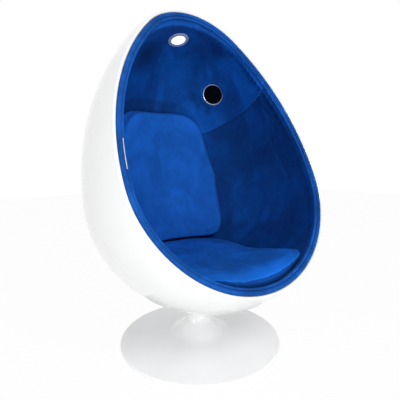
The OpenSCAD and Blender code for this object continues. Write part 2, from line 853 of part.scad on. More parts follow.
module spindle() {
  color(STEEL) difference() {
    union() {
      translate([0, 0, spindle_low]) cylinder(r = spindle_r, h = pod_bottom - spindle_low + over);
      translate([0, 0, pod_bottom]) cylinder(r = column_r + shoulder_over, h = shoulder_h);
      translate([0, 0, pod_bottom + shoulder_h - over])
        cylinder(r = stem_r, h = flange_z - pod_bottom - shoulder_h + 2 * over);
      translate([0, 0, flange_z]) cylinder(r = hub_r, h = flange_thick);
    }
    translate([0, 0, clip_z]) difference() {
      cylinder(r = spindle_r + over, h = clip_thick);
      translate([0, 0, -over]) cylinder(r = spindle_r - clip_deep, h = clip_thick + 2 * over);
    }
    translate([0, 0, flange_z - over]) at_bolts()
      cylinder(r = bolt_r + bolt_clear, h = flange_thick + 2 * over);
  }
}

module ring(inner, outer, h) {
  difference() {
    cylinder(r = outer, h = h);
    translate([0, 0, -over]) cylinder(r = inner, h = h + 2 * over);
  }
}

column_in_r = column_r - column_wall;
washer_clear = 2;
washer_z = clip_z + clip_thick;
bush_low_z = washer_z + washer_thick;
bush_h = 22;

module retaining_clip() {
  color(STEEL) translate([0, 0, clip_z]) difference() {
    ring(spindle_r - clip_deep, spindle_r + clip_deep, clip_thick);
    translate([0, -clip_deep, -over]) cube([spindle_r + 2 * clip_deep, 2 * clip_deep, clip_thick + 2 * over]);
  }
}

module thrust_washer() {
  color("goldenrod") translate([0, 0, washer_z])
    ring(spindle_r + bush_clear, column_in_r - washer_clear, washer_thick);
}

module lower_bush() {
  color("goldenrod") translate([0, 0, bush_low_z])
    ring(spindle_r + bush_clear, column_in_r, bush_h);
}

module upper_bush() {
  color("goldenrod") translate([0, 0, race_z - bush_h])
    ring(spindle_r + bush_clear, column_in_r, bush_h);
}

// Thrust bearing under the pod: two races, a cage and its balls
race_over = 3.5;
race_clear = 2;
race_out_r = column_r + race_over;
race_in_r = spindle_r + race_clear;
cage_thick = 3.2;
ball_ring_r = (race_in_r + race_out_r) / 2;
pocket_clear = 0.15;

module lower_race() {
  color(STEEL) translate([0, 0, race_z]) ring(race_in_r, race_out_r, race_thick);
}

module upper_race() {
  color(STEEL) translate([0, 0, pod_bottom - race_thick]) ring(spindle_r, race_out_r, race_thick);
}

module at_balls() {
  for (i = [0:ball_count - 1]) rotate([0, 0, 360 * i / ball_count])
    translate([ball_ring_r, 0, 0]) children();
}

module ball_cage() {
  color("goldenrod") translate([0, 0, race_z + race_thick + (ball_space - cage_thick) / 2])
    difference() {
      ring(race_in_r + over, race_out_r - over, cage_thick);
      translate([0, 0, -over]) at_balls() cylinder(r = ball_d / 2 + pocket_clear, h = cage_thick + 2 * over, $fn = 32);
    }
}

module bearing_balls() {
  color(STEEL) translate([0, 0, race_z + race_thick + ball_space / 2])
    at_balls() sphere(r = ball_d / 2, $fn = 32);
}

// Steel column with its gussets on the plate
gusset_thick = 6;
gusset_reach = 74;
gusset_h = 62;

module column_tube() {
  color(STEEL) translate([0, 0, plate_top]) ring(column_in_r, column_r, race_z - plate_top);
}

module column_gussets() {
  color(STEEL) for (i = [0:3]) rotate([0, 0, 90 * i])
    translate([0, gusset_thick / 2, plate_top]) rotate([90, 0, 0])
      linear_extrude(gusset_thick)
        polygon([[column_r, 0], [column_r + gusset_reach, 0], [column_r, gusset_h]]);
}

// Cover of the base: a neck, two hollow curves, a shallow slope and a rounded edge
neck_arc = [neck_r + neck_arc_r, neck_top];
slope_turn = 45;
slope_top = neck_arc - neck_arc_r * [cos(slope_turn), sin(slope_turn)];
slope_low = slope_top + neck_slope * [sin(slope_turn), -cos(slope_turn)];
foot_arc = slope_low + foot_arc_r * [cos(slope_turn), sin(slope_turn)];
edge_mid = [base_r - base_edge_r, cover_lift + base_edge_r];
edge_way = edge_mid - foot_arc;
disc_turn = asin((foot_arc_r + base_edge_r) / norm(edge_way)) + atan2(edge_way[1], edge_way[0]);
disc_out = [-sin(disc_turn), cos(disc_turn)];

// Height of the disc's face, at depth t below it, at this distance from the axis
function disc_z(r, t) = edge_mid[1] + (base_edge_r - t) / cos(disc_turn)
  + (edge_mid[0] - r) * tan(-disc_turn);

// Half section of the base at depth t below its outer face, from low upwards
module base_section(t, edge, low) {
  rise = t > 0 ? over : 0;
  difference() {
    polygon([
      [0, low],
      [edge, low],
      [edge, disc_z(edge, t)],
      foot_arc - (foot_arc_r + t) * disc_out,
      slope_low - t * [cos(slope_turn), sin(slope_turn)],
      slope_top - t * [cos(slope_turn), sin(slope_turn)],
      [neck_r - t, neck_top],
      [neck_r - t, neck_top + rise],
      [0, neck_top + rise]
    ]);
    translate(neck_arc) circle(r = neck_arc_r + t, $fn = fine);
    translate(foot_arc) circle(r = foot_arc_r + t, $fn = fine);
  }
}

cover_in_r = base_r - 2 * base_edge_r + over;
plate_r = edge_mid[0] + (disc_z(edge_mid[0], cover_wall) - plate_top - layer_gap) / tan(-disc_turn);

module base_cover() {
  color(WHITE) difference() {
    union() {
      rotate_extrude($fn = fine) base_section(0, edge_mid[0], edge_mid[1]);
      rotate_extrude($fn = fine) translate(edge_mid) circle(r = base_edge_r, $fn = 48);
    }
    rotate_extrude($fn = fine) base_section(cover_wall, cover_in_r, -over);
  }
}

foot_ring_w = 24;

module foot_ring() {
  color(DARK) ring(plate_r - foot_ring_w, plate_r, foot_ring_h);
}

lug_r = 12;
lug_ring_r = 190;
cover_screw_r = 3;
cover_head_r = 6;
lug_bite = 5;
cover_screw_len = plate_thick + lug_bite;

module at_lugs() {
  for (i = [0:5]) rotate([0, 0, 30 + 60 * i]) translate([lug_ring_r, 0, 0]) children();
}

module cover_screws() {
  color(STEEL) at_lugs() translate([0, 0, plate_z]) screw(cover_head_r, cover_screw_r, cover_screw_len);
}

module cover_lugs() {
  color(WHITE) difference() {
    intersection() {
      translate([0, 0, plate_top]) at_lugs() cylinder(r = lug_r, h = neck_top);
      rotate_extrude($fn = fine) base_section(cover_wall, cover_in_r, -over);
    }
    translate([0, 0, plate_z]) at_lugs() screw(cover_head_r, cover_screw_r, cover_screw_len);
  }
}

module ballast_plate() {
  color(STEEL) difference() {
    translate([0, 0, plate_z]) cylinder(r = plate_r, h = plate_thick, $fn = fine);
    translate([0, 0, plate_z]) at_lugs() screw(cover_head_r, cover_screw_r, cover_screw_len);
  }
}

// Collar of the pod: flares from the swivel gap up to the shell's underside
collar_arc_r = 50;
collar_turn = 55;
collar_wall = 4;
collar_line = 60;

module collar_section(t) {
  mid = [neck_r + collar_arc_r, pod_bottom];
  top = mid + (collar_arc_r + t) * [-cos(collar_turn), sin(collar_turn)];
  far = top + collar_line * [sin(collar_turn), cos(collar_turn)];
  low = pod_bottom - (t > 0 ? over : 0);
  difference() {
    polygon([[0, low], [neck_r - t, low], [neck_r - t, pod_bottom], top, far, [0, far[1]]]);
    translate(mid) circle(r = collar_arc_r + t, $fn = fine);
  }
}

module neck_collar() {
  color(WHITE) difference() {
    rotate_extrude($fn = fine) collar_section(0);
    rotate_extrude($fn = fine) collar_section(collar_wall);
    pole_ball(0);
  }
}

// Speaker, drawn with its face at z = 0 and the room towards +z
grille_r = speaker_r - speaker_ring_w;
ring_high = 5.5;
ring_low = 3;
ring_bevel = 1.5;
basket_flange = 2;
magnet_r = 20;
magnet_h = 10;
magnet_clear = 1.5;
magnet_low = lining_in - shell_wall - magnet_clear;
basket_low = magnet_low - magnet_h;
basket_wall = 1.5;
grille_up = 1;
grille_thick = 1.2;
hole_r = 1.7;
hole_step = 6.6;
cone_edge = 4;
cone_r = grille_r - cone_edge;
cone_wall = 1;
cone_roll = 2;
cone_low = -ring_low - 2 * cone_roll;
cap_r = 9;
cap_h = 4;

module speaker_ring() {
  color("silver") rotate_extrude() polygon([
    [grille_r, -ring_low], [speaker_r, -ring_low], [speaker_r, ring_high - ring_bevel],
    [speaker_r - ring_bevel, ring_high], [grille_r + ring_bevel / 2, ring_high - ring_bevel / 2],
    [grille_r, ring_high - 2 * ring_bevel]
  ]);
}

module speaker_grille() {
  color(DARK) translate([0, 0, grille_up]) difference() {
    cylinder(r = grille_r, h = grille_thick);
    for (k = [0:5], i = [0:max(6 * k - 1, 0)]) rotate([0, 0, k > 0 ? 60 * i / k : 0])
      translate([k * hole_step, 0, -over]) cylinder(r = hole_r, h = grille_thick + 2 * over, $fn = 16);
  }
}

module speaker_basket() {
  floor_z = basket_wall - basket_low;
  rim_z = -ring_low - basket_flange;
  color(STEEL) rotate_extrude() polygon([
    [cone_r, -ring_low], [speaker_r, -ring_low], [speaker_r, rim_z],
    [cone_r + basket_wall, rim_z], [cone_r + basket_wall, cone_low],
    [magnet_r + basket_wall, -basket_low], [0, -basket_low],
    [0, floor_z], [magnet_r, floor_z], [cone_r, cone_low]
  ]);
}

// The cone rests on the basket's floor with its neck, and its rim lies in the basket
module speaker_cone() {
  floor_z = basket_wall - basket_low;
  color(DARK) rotate_extrude() polygon([
    [0, floor_z], [cap_r + cone_wall, floor_z],
    [cone_r - 2 * cone_roll, cone_low], [cone_r - cone_roll, -ring_low - cone_wall],
    [cone_r - cone_wall / 2, -ring_low - cone_wall], [cone_r - cone_wall / 2, -ring_low],
    [cone_r - cone_roll, -ring_low], [cone_r - 2 * cone_roll, -ring_low - cone_roll],
    [cap_r, floor_z + cone_wall], [0, floor_z + cap_h]
  ]);
}

module speaker_magnet() {
  color(STEEL) translate([0, 0, -magnet_low]) cylinder(r = magnet_r, h = magnet_h);
}

module at_speaker(s) {
  in_pod() on_wall(s * speaker_turn, speaker_rise, lining_in) children();
}

module speaker_ring_left() { at_speaker(-1) speaker_ring(); }
module speaker_grille_left() { at_speaker(-1) speaker_grille(); }
module speaker_basket_left() { at_speaker(-1) speaker_basket(); }
module speaker_cone_left() { at_speaker(-1) speaker_cone(); }
module speaker_magnet_left() { at_speaker(-1) speaker_magnet(); }
module speaker_ring_right() { at_speaker(1) speaker_ring(); }
module speaker_grille_right() { at_speaker(1) speaker_grille(); }
module speaker_basket_right() { at_speaker(1) speaker_basket(); }
module speaker_cone_right() { at_speaker(1) speaker_cone(); }
module speaker_magnet_right() { at_speaker(1) speaker_magnet(); }

// Ceiling light at the pod's tip, drawn with the room towards +z
light_thick = 3;
light_edge = 1;
light_bevel = 2;
lens_thick = 2;
board_thick = 1.6;
board_clear = 1;
can_room = 2;

module at_light() {
  in_pod() translate([0, 0, pod_top - lining_in - crown_fill]) rotate([180, 0, 0]) children();
}

// Height of the ring's back: it clears the hollow lining at the ring's edge
light_seat = let (r = tip_r(lining_in, crown_fill)) r - sqrt(r * r - light_r * light_r) + layer_gap;
can_deep = crown_fill + lining_in - lead_deep + lead_r + can_room;

module light_can() {
  color("silver") at_light() difference() {
    translate([0, 0, -can_deep]) cylinder(r = light_can_r, h = can_deep + light_seat);
    translate([0, 0, -can_deep + light_wall]) cylinder(r = light_lens_r, h = can_deep + light_seat);
  }
}

module light_ring() {
  color("silver") at_light() rotate_extrude() polygon([
    [light_lens_r, light_seat], [light_r, light_seat], [light_r, light_seat + light_edge],
    [light_r - light_bevel, light_seat + light_thick], [light_lens_r, light_seat + light_thick]
  ]);
}

module light_lens() {
  color("white") at_light() translate([0, 0, light_seat - lens_thick])
    cylinder(r = light_lens_r, h = lens_thick);
}

module light_board() {
  color("green") at_light() translate([0, 0, -can_deep + light_wall])
    cylinder(r = light_lens_r - board_clear, h = board_thick);
}

base_cover();
foot_ring();
ballast_plate();
cover_lugs();
cover_screws();
column_tube();
column_gussets();
lower_bush();
upper_bush();
lower_race();
ball_cage();
bearing_balls();
spindle();
thrust_washer();
retaining_clip();
upper_race();
hub_casting();
neck_collar();
pod_bolts();
backing_pad();
pod_nuts();
shell();
foam_crown_left();
foam_crown_right();
foam_side_left();
foam_side_right();
lining_crown_left();
lining_crown_right();
lining_side_left();
lining_side_right();
outer_welt();
inner_welt();
edge_strip();
seat_board();
board_blocks();
board_screws();
amplifier_case();
amplifier_lid();
amplifier_screws();
power_inlet();
inlet_nut();
inlet_lead();
wiring_loom();
seat_cushion();
back_cushion();
speaker_ring_left();
speaker_grille_left();
speaker_basket_left();
speaker_cone_left();
speaker_magnet_left();
speaker_ring_right();
speaker_grille_right();
speaker_basket_right();
speaker_cone_right();
speaker_magnet_right();
light_can();
light_board();
light_lens();
light_ring();
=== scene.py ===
import json
import math

import bmesh
import bpy
import numpy as np
from mathutils import Matrix, Vector, noise


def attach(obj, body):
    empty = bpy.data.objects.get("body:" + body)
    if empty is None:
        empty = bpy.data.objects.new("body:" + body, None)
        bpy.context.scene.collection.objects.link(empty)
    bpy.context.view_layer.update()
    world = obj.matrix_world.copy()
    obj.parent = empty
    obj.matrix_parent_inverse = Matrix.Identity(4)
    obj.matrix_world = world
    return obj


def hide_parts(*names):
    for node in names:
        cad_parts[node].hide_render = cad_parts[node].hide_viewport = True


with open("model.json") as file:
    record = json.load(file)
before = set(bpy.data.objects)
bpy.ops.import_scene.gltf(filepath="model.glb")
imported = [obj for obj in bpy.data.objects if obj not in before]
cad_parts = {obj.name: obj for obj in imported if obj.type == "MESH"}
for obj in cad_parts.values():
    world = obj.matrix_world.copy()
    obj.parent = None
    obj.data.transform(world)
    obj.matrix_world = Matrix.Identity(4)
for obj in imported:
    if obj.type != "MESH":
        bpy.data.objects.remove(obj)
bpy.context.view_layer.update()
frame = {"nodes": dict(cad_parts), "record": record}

MM = 0.001

# ---------------------------------------------------------------- camera
# The photograph's view, in the part's frame: place, direction and up
EYE = Vector((-0.7671, -1.0605, 0.7213))
LOOK = Vector((0.5846, 0.802, -0.1223)).normalized()
UP = Vector((0.079, 0.0937, 0.9925))
FOCAL_PX = 341.64
FRAME_PX = 400
SENSOR_MM = 36

cam_data = bpy.data.cameras.new("camera")
cam_data.sensor_width = SENSOR_MM
cam_data.sensor_fit = "HORIZONTAL"
cam_data.lens = SENSOR_MM * FOCAL_PX / FRAME_PX
cam_data.clip_start = 0.01
camera = bpy.data.objects.new("camera", cam_data)
bpy.context.scene.collection.objects.link(camera)
side = LOOK.cross(UP).normalized()
up = side.cross(LOOK).normalized()
turn = Matrix((side, up, -LOOK)).transposed().to_4x4()
camera.matrix_world = Matrix.Translation(EYE) @ turn
bpy.context.scene.camera = camera
bpy.context.scene.view_settings.view_transform = "Standard"


# ---------------------------------------------------------------- the pod's shape, as in the CAD
POD_R, POD_TOP, POD_DROP = 445.0, 688.0, 427.0
SHOULDER_R, SIDE_BOW = 378.0, 440.0
LEAN, TILT = math.radians(18.5), math.radians(6.0)
MOUTH_DIST, POD_FORE, UNDER_Z = 170.0, 70.0, 169.2
CROWN_FILL, SEAM_UP = 28.0, 375.0
SEAM_FALL, SEAM_LEAN = math.radians(8.5), math.radians(9.0)
SHELL_WALL, LIP_W, LIP_DEEP = 6.0, 10.0, 8.0
LINING_IN = 34.9
EDGE_DEEP = 14.3
OUTER_WELT_R, INNER_WELT_R = 7.0, 5.0
OUTER_WELT_IN, OUTER_WELT_DEEP = 17.3, 5.0
INNER_WELT_IN, INNER_WELT_DEEP = 29.6, 9.0
DECK_Z = 255.2

SHOULDER_X = POD_R - SHOULDER_R
REST = POD_DROP - SHOULDER_R
POLE_UP = (SHOULDER_X ** 2 - REST ** 2) / (2 * REST)
POLE_R = POLE_UP + POD_DROP
POLE_TURN = math.atan2(POLE_UP, SHOULDER_X)
SIDE_R = POD_R + SIDE_BOW
POLE_Y = -POD_FORE + POLE_UP * math.sin(LEAN)
POD_Z = UNDER_Z + math.sqrt(POLE_R ** 2 - POLE_Y ** 2) - POLE_UP * math.cos(LEAN)
PAST_END = 500  # taken off where a layer has already closed at a pole

MOUTH_FRONT = np.array([0, -math.cos(TILT), math.sin(TILT)])


def wall_r(w, t, f=0.0):
    """Distance of a layer at depth t from the pod's axis, at heights w (an array).

    f lowers the layer's tip further, as the crown's thicker foam does.
    """
    s, top = SIDE_R - t, POD_TOP - t - f
    tip_r = (s * s - SIDE_BOW ** 2 - top * top) / (2 * (s - top))
    tip_up = top - tip_r
    tip_turn = math.atan2(tip_up, SIDE_BOW)
    low = POLE_UP - (POLE_R - t) * math.sin(POLE_TURN)
    w = np.asarray(w, float)
    tip = (np.sqrt(np.maximum(tip_r ** 2 - (w - tip_up) ** 2, 0))
           - (abs(w - tip_up) > tip_r) * PAST_END)
    arc = np.sqrt(np.maximum(s * s - w * w, 0)) - SIDE_BOW
    sho = SHOULDER_X + np.sqrt(np.maximum((SHOULDER_R - t) ** 2 - w * w, 0))
    pole = (np.sqrt(np.maximum((POLE_R - t) ** 2 - (w - POLE_UP) ** 2, 0))
            - (w < POLE_UP - POLE_R + t) * PAST_END)
    return np.where(w >= s * math.sin(tip_turn), tip,
                    np.where(w >= 0, arc, np.where(w >= low, sho, pole)))


def to_world(p):
    """Points in the pod's own axes, in mm, to the part's axes, in metres."""
    p = np.asarray(p, float)
    x, y, w = p[..., 0], p[..., 1], p[..., 2]
    return np.stack([x, -POD_FORE + y * math.cos(LEAN) + w * math.sin(LEAN),
                     POD_Z - y * math.sin(LEAN) + w * math.cos(LEAN)], -1) * MM


def depth_from_mouth(p):
    """How far points lie behind the mouth's plane, in mm."""
    return MOUTH_DIST + p[..., 1] * math.cos(TILT) - p[..., 2] * math.sin(TILT)


# A polar grid around a centre inside the pod. Its axis points to the pod's back, and
# the seam planes of the lining all pass through that axis.
CENTRE = np.array([0.0, 0.0, SEAM_UP])
AXIS = np.array([0.0, math.cos(SEAM_FALL), -math.sin(SEAM_FALL)])
ACROSS = np.array([1.0, 0.0, 0.0])
RISE = np.cross(ACROSS, AXIS)
HIT_STEPS, FARTHEST = 44, 1100.0
EDGE_STEPS, EDGE_FROM, EDGE_TO = 40, 0.2, 3.0


def ray(phi, theta):
    c, s = np.cos(phi)[..., None], np.sin(phi)[..., None]
    return c * AXIS + s * (np.cos(theta)[..., None] * ACROSS + np.sin(theta)[..., None] * RISE)


def hit(phi, theta, t, f=0.0):
    """Points where rays from the centre meet the layer at depth t."""
    d = ray(phi, theta)
    lo, hi = np.zeros(np.shape(phi)), np.full(np.shape(phi), FARTHEST)
    for _ in range(HIT_STEPS):
        mid = (lo + hi) / 2
        p = CENTRE + mid[..., None] * d
        out = np.hypot(p[..., 0], p[..., 1]) > wall_r(p[..., 2], t, f)
        hi, lo = np.where(out, mid, hi), np.where(out, lo, mid)
    return CENTRE + lo[..., None] * d


def edge_phi(theta, t, f, deep):
    """Polar angle at which the layer reaches this depth behind the mouth's plane."""
    lo, hi = np.full(np.shape(theta), EDGE_FROM), np.full(np.shape(theta), EDGE_TO)
    for _ in range(EDGE_STEPS):
        mid = (lo + hi) / 2
        out = depth_from_mouth(hit(mid, theta, t, f)) < deep
        hi, lo = np.where(out, mid, hi), np.where(out, lo, mid)
    return lo


def full_turn(cols):
    return np.linspace(0, 2 * math.pi, cols, endpoint=False)


def make_object(name, verts, faces, mat, smooth=True):
    mesh = bpy.data.meshes.new(name)
    mesh.from_pydata([tuple(v) for v in verts], [], faces)
    mesh.validate()
    if smooth:
        mesh.polygons.foreach_set("use_smooth", [True] * len(mesh.polygons))
    mesh.update()
    obj = bpy.data.objects.new(name, mesh)
    bpy.context.scene.collection.objects.link(obj)
    mesh.materials.append(mat)
    return obj


def grid_faces(rows, cols, wrap=False):
    """Quads between the points of a grid; wrap joins its last column to its first."""
    i = np.arange(rows - 1)[:, None] * cols
    k = np.arange(cols if wrap else cols - 1)[None, :]
    m = (k + 1) % cols
    q = np.stack([i + k, i + m, i + cols + m, i + cols + k], -1)
    return q.reshape(-1, 4).tolist()


# ---------------------------------------------------------------- shader nodes
def tree_of(name):
    mat = bpy.data.materials.new(name)
    mat.use_nodes = True
    nt = mat.node_tree
    return mat, nt, nt.nodes["Principled BSDF"]


def node(nt, kind, **values):
    """A new node with some of its inputs set."""
    n = nt.nodes.new(kind)
    for k, v in values.items():
        n.inputs[k].default_value = v
    return n


def feed(nt, sock, v):
    """Links an output to a socket, or sets the socket to a number or a colour."""
    if hasattr(v, "is_output"):
        nt.links.new(v, sock)
    elif isinstance(v, (int, float)):
        sock.default_value = v
    else:
        sock.default_value = (*v, 1)


def maths(nt, operation, a, b):
    m = nt.nodes.new("ShaderNodeMath")
    m.operation = operation
    feed(nt, m.inputs[0], a)
    feed(nt, m.inputs[1], b)
    return m.outputs[0]


def spread(nt, fac, to_min, to_max, from_min=0.0, from_max=1.0):
    """Maps a value from one range to another and holds it at the ends."""
    r = nt.nodes.new("ShaderNodeMapRange")
    for key, v in (("From Min", from_min), ("From Max", from_max),
                   ("To Min", to_min), ("To Max", to_max)):
        r.inputs[key].default_value = v
    nt.links.new(fac, r.inputs["Value"])
    return r.outputs["Result"]


def placed(nt, place=None, size=None, kind="TEXTURE"):
    """The object's own coordinates, in metres, through a mapping."""
    pos = nt.nodes.new("ShaderNodeTexCoord")
    mp = nt.nodes.new("ShaderNodeMapping")
    mp.vector_type = kind
    if place:
        mp.inputs["Location"].default_value = place
    mp.inputs["Scale"].default_value = size
    nt.links.new(pos.outputs["Object"], mp.inputs["Vector"])
    return mp.outputs["Vector"]


def noise_tex(nt, scale, detail=3.0, rough=0.5, stretch=(1, 1, 1), distort=0.0):
    """Noise over the object's own place, in metres."""
    tex = node(nt, "ShaderNodeTexNoise", Scale=scale, Detail=detail, Roughness=rough,
               Distortion=distort)
    nt.links.new(placed(nt, None, stretch, "POINT"), tex.inputs["Vector"])
    return tex.outputs["Fac"]


def ramp(nt, fac, stops):
    r = nt.nodes.new("ShaderNodeValToRGB")
    els = r.color_ramp.elements
    while len(els) < len(stops):
        els.new(0.5)
    for e, (p, c) in zip(els, stops):
        e.position, e.color = p, (*c, 1)
    nt.links.new(fac, r.inputs["Fac"])
    return r.outputs["Color"]


def mix(nt, fac, a, b, blend="MIX"):
    m = nt.nodes.new("ShaderNodeMix")
    m.data_type, m.blend_type = "RGBA", blend
    feed(nt, m.inputs["Factor"], fac)
    feed(nt, m.inputs["A"], a)
    feed(nt, m.inputs["B"], b)
    return m.outputs["Result"]


def bump(nt, bsdf, height, distance, strength, below=None):
    b = node(nt, "ShaderNodeBump", Strength=strength, Distance=distance)
    nt.links.new(height, b.inputs["Height"])
    if below is not None:
        nt.links.new(below, b.inputs["Normal"])
    nt.links.new(b.outputs["Normal"], bsdf.inputs["Normal"])
    return b.outputs["Normal"]


def mark(nt, place, size):
    """A soft round patch, 1 at its middle and 0 at its edge, for painted light and shade."""
    g = nt.nodes.new("ShaderNodeTexGradient")
    g.gradient_type = "SPHERICAL"
    nt.links.new(placed(nt, place, size), g.inputs["Vector"])
    soft = nt.nodes.new("ShaderNodeMapRange")
    soft.interpolation_type = "SMOOTHSTEP"
    nt.links.new(g.outputs["Fac"], soft.inputs["Value"])
    return soft.outputs["Result"]


def upward(nt):
    """How far the object's surface looks up, from -1 to 1."""
    tc = nt.nodes.new("ShaderNodeTexCoord")
    sep = nt.nodes.new("ShaderNodeSeparateXYZ")
    nt.links.new(tc.outputs["Normal"], sep.inputs["Vector"])
    return sep.outputs["Z"]


# ---------------------------------------------------------------- materials
DEEP, SHADOW = 0.3, 0.55           # shares of the dark colour for painted shade, and for the dark side of painted sheen streaks
PAINTED_LIGHT = {"sheen_streak": 1.45, "mark": 1.5, "painted_shading": 1.6}  # and shares of the light colour for painted highlights and painted sheen
FOLD_SHOWS = 0.85
PILE_ROUGH = (0.78, 0.95)
SHEEN_ROUGH, SHEEN_TINT = 0.45, (0.12, 0.5, 1.0, 1)
SPECULAR = 0.15
# ramps of painted shade by how a face looks: under the back cushion, and on the seat's upright
# sides with a darker line at the top seam
UNDER_SHADE_STOPS = [(0.25, (0.1, 0.12, 0.15)), (0.4, (1, 1, 1))]
SIDE_SHADE_STOPS = [(0.45, (0.34, 0.4, 0.44)), (0.58, (0.12, 0.15, 0.2)), (0.7, (1, 1, 1))]


def darker(colour, by):
    return [c * by for c in colour]


def paler(colour, by):
    return [min(1, c * by) for c in colour]


def velvet(name, dark, light, brush, amount, sheen, streak, marks=(), boxed=None):
    """Short-pile velvet: base colour with soft brushed patches, fine pile and a sheen, and painted
    sheen, light and shade over them.

    boxed "under" puts painted shade on what looks down, and "sides" puts painted shade on the
    upright sides, darkest in a line along their top seam.
    """
    mat, nt, bsdf = tree_of(name)
    patches = noise_tex(nt, 7.0, 4.0, 0.55, brush, 0.6)
    fine = noise_tex(nt, 55.0, 3.0, 0.6, brush)
    sheen_streak = noise_tex(nt, 8.5, 4.0, 0.55, brush, 0.7)
    base = ramp(nt, patches, [(0.32, dark), (0.72, light)])
    tint = ramp(nt, fine, [(0.3, darker(dark, 0.86)), (0.75, paler(light, 1.1))])
    colour = mix(nt, 0.3 * amount + 0.1, base, tint)
    # random streaks of painted sheen and painted shade, where brushed pile catches or loses the
    # light
    for end, shade in ((0.66, paler(light, PAINTED_LIGHT["sheen_streak"])), (0.34, darker(dark, SHADOW))):
        colour = mix(nt, spread(nt, sheen_streak, 0, streak, 0.5, end), colour, shade)
    # round patches of painted shade and painted light
    for place, size, by in marks:
        shade = darker(dark, DEEP) if by < 0 else paler(light, PAINTED_LIGHT["mark"])
        colour = mix(nt, maths(nt, "MULTIPLY", mark(nt, place, size), abs(by)), colour, shade)
    # painted shade and painted highlights of the creases, and the back cushion's painted shadow,
    # read from a point attribute
    painted_shading = nt.nodes.new("ShaderNodeAttribute")
    painted_shading.attribute_name = "painted_shading"
    for sign, shade in ((1, darker(dark, DEEP)), (-1, paler(light, PAINTED_LIGHT["painted_shading"]))):
        shows = spread(nt, painted_shading.outputs["Fac"], 0, FOLD_SHOWS, 0, sign)
        colour = mix(nt, shows, colour, shade)
    # painted shade on faces that look down, or on the upright sides
    if boxed == "under":
        # a ramp reads 0 to 1 only, so the normal's height is raised by 1
        shade = ramp(nt, maths(nt, "ADD", upward(nt), 1.0), UNDER_SHADE_STOPS)
        colour = mix(nt, 1.0, colour, shade, "MULTIPLY")
    elif boxed == "sides":
        colour = mix(nt, 1.0, colour, ramp(nt, upward(nt), SIDE_SHADE_STOPS), "MULTIPLY")
    nt.links.new(colour, bsdf.inputs["Base Color"])
    nt.links.new(spread(nt, patches, *PILE_ROUGH), bsdf.inputs["Roughness"])
    bsdf.inputs["Specular IOR Level"].default_value = SPECULAR
    bsdf.inputs["Sheen Weight"].default_value = sheen
    bsdf.inputs["Sheen Roughness"].default_value = SHEEN_ROUGH
    bsdf.inputs["Sheen Tint"].default_value = SHEEN_TINT
    first = bump(nt, bsdf, noise_tex(nt, 1600.0, 2.0), 0.0006, 0.35)
    bump(nt, bsdf, fine, 0.0012, 0.25, first)
    return mat


def glossy(name, colour, rough, coat):
    """Moulded or painted gloss with a faint unevenness."""
    mat, nt, bsdf = tree_of(name)
    uneven = noise_tex(nt, 5.0)
    shade = ramp(nt, uneven, [(0.3, darker(colour, 0.98)), (0.7, colour)])
    nt.links.new(shade, bsdf.inputs["Base Color"])
    fine = noise_tex(nt, 900.0, 2.0)
    nt.links.new(spread(nt, fine, rough * 0.8, rough * 1.3), bsdf.inputs["Roughness"])
    bsdf.inputs["Metallic"].default_value = 0.0
    bsdf.inputs["Coat Weight"].default_value = coat
    bsdf.inputs["Coat Roughness"].default_value = 0.04
    bump(nt, bsdf, noise_tex(nt, 11.0, 2.0, 0.4), 0.0006, 0.12)
    return mat


def plain(name, low, high, rough, metallic, scale, height, strength, spec=0.4,
          stretch=(1, 1, 1)):
    """A matt or metal surface with its own grain."""
    mat, nt, bsdf = tree_of(name)
    grain = noise_tex(nt, scale, 4.0, 0.55, stretch)
    nt.links.new(ramp(nt, grain, [(0.3, low), (0.72, high)]), bsdf.inputs["Base Color"])
    rougher = spread(nt, grain, max(rough - 0.08, 0.02), min(rough + 0.1, 1))
    nt.links.new(rougher, bsdf.inputs["Roughness"])
    bsdf.inputs["Metallic"].default_value = metallic
    bsdf.inputs["Specular IOR Level"].default_value = spec
    bump(nt, bsdf, grain, height, strength)
    return mat


def lens(name):
    """The ceiling light's frosted lens, which glows."""
    mat, nt, bsdf = tree_of(name)
    frost = noise_tex(nt, 700.0, 2.0)
    shade = ramp(nt, frost, [(0.3, (0.84, 0.85, 0.9)), (0.7, (0.95, 0.95, 0.98))])
    nt.links.new(shade, bsdf.inputs["Base Color"])
    bsdf.inputs["Roughness"].default_value = 0.35
    bsdf.inputs["Emission Color"].default_value = (0.96, 0.97, 1, 1)
    bsdf.inputs["Emission Strength"].default_value = 1.1
    bump(nt, bsdf, frost, 0.0003, 0.2)
    return mat


def srgb(r, g, b):
    return [((c / 255 + 0.055) / 1.055) ** 2.4 if c > 10 else c / 255 / 12.92 for c in (r, g, b)]


# Patches of painted shade (below 0) and painted light (above 0): place, reach and how much it
# shows
# crown: painted shade beside the ceiling light and below the right speaker, painted light above
# the back cushion
CROWN_LIGHT_AND_SHADE = (((-0.107, 0.198, 1.129), (0.13, 0.12, 0.12), -0.8),
               ((0.136, 0.099, 1.161), (0.13, 0.14, 0.1), -0.55),
               ((0.07, 0.259, 1.088), (0.1, 0.1, 0.12), 0.35),
               ((0.17, 0.266, 0.996), (0.04, 0.04, 0.045), -0.5),
               ((0.192, 0.265, 0.962), (0.035, 0.035, 0.04), -0.5),
               ((0.232, 0.241, 0.935), (0.03, 0.03, 0.035), -0.4))
# seat: painted light along its front and at its front right
SEAT_PAINTED_LIGHT = (((0.02, -0.33, 0.385), (0.36, 0.08, 0.2), 0.75),
              ((0.2, -0.24, 0.4), (0.06, 0.05, 0.1), 0.4))
# right side wall: painted shade
SIDE_PAINTED_SHADE = (((0.36, 0.0, 0.72), (0.2, 0.2, 0.2), -0.3),)

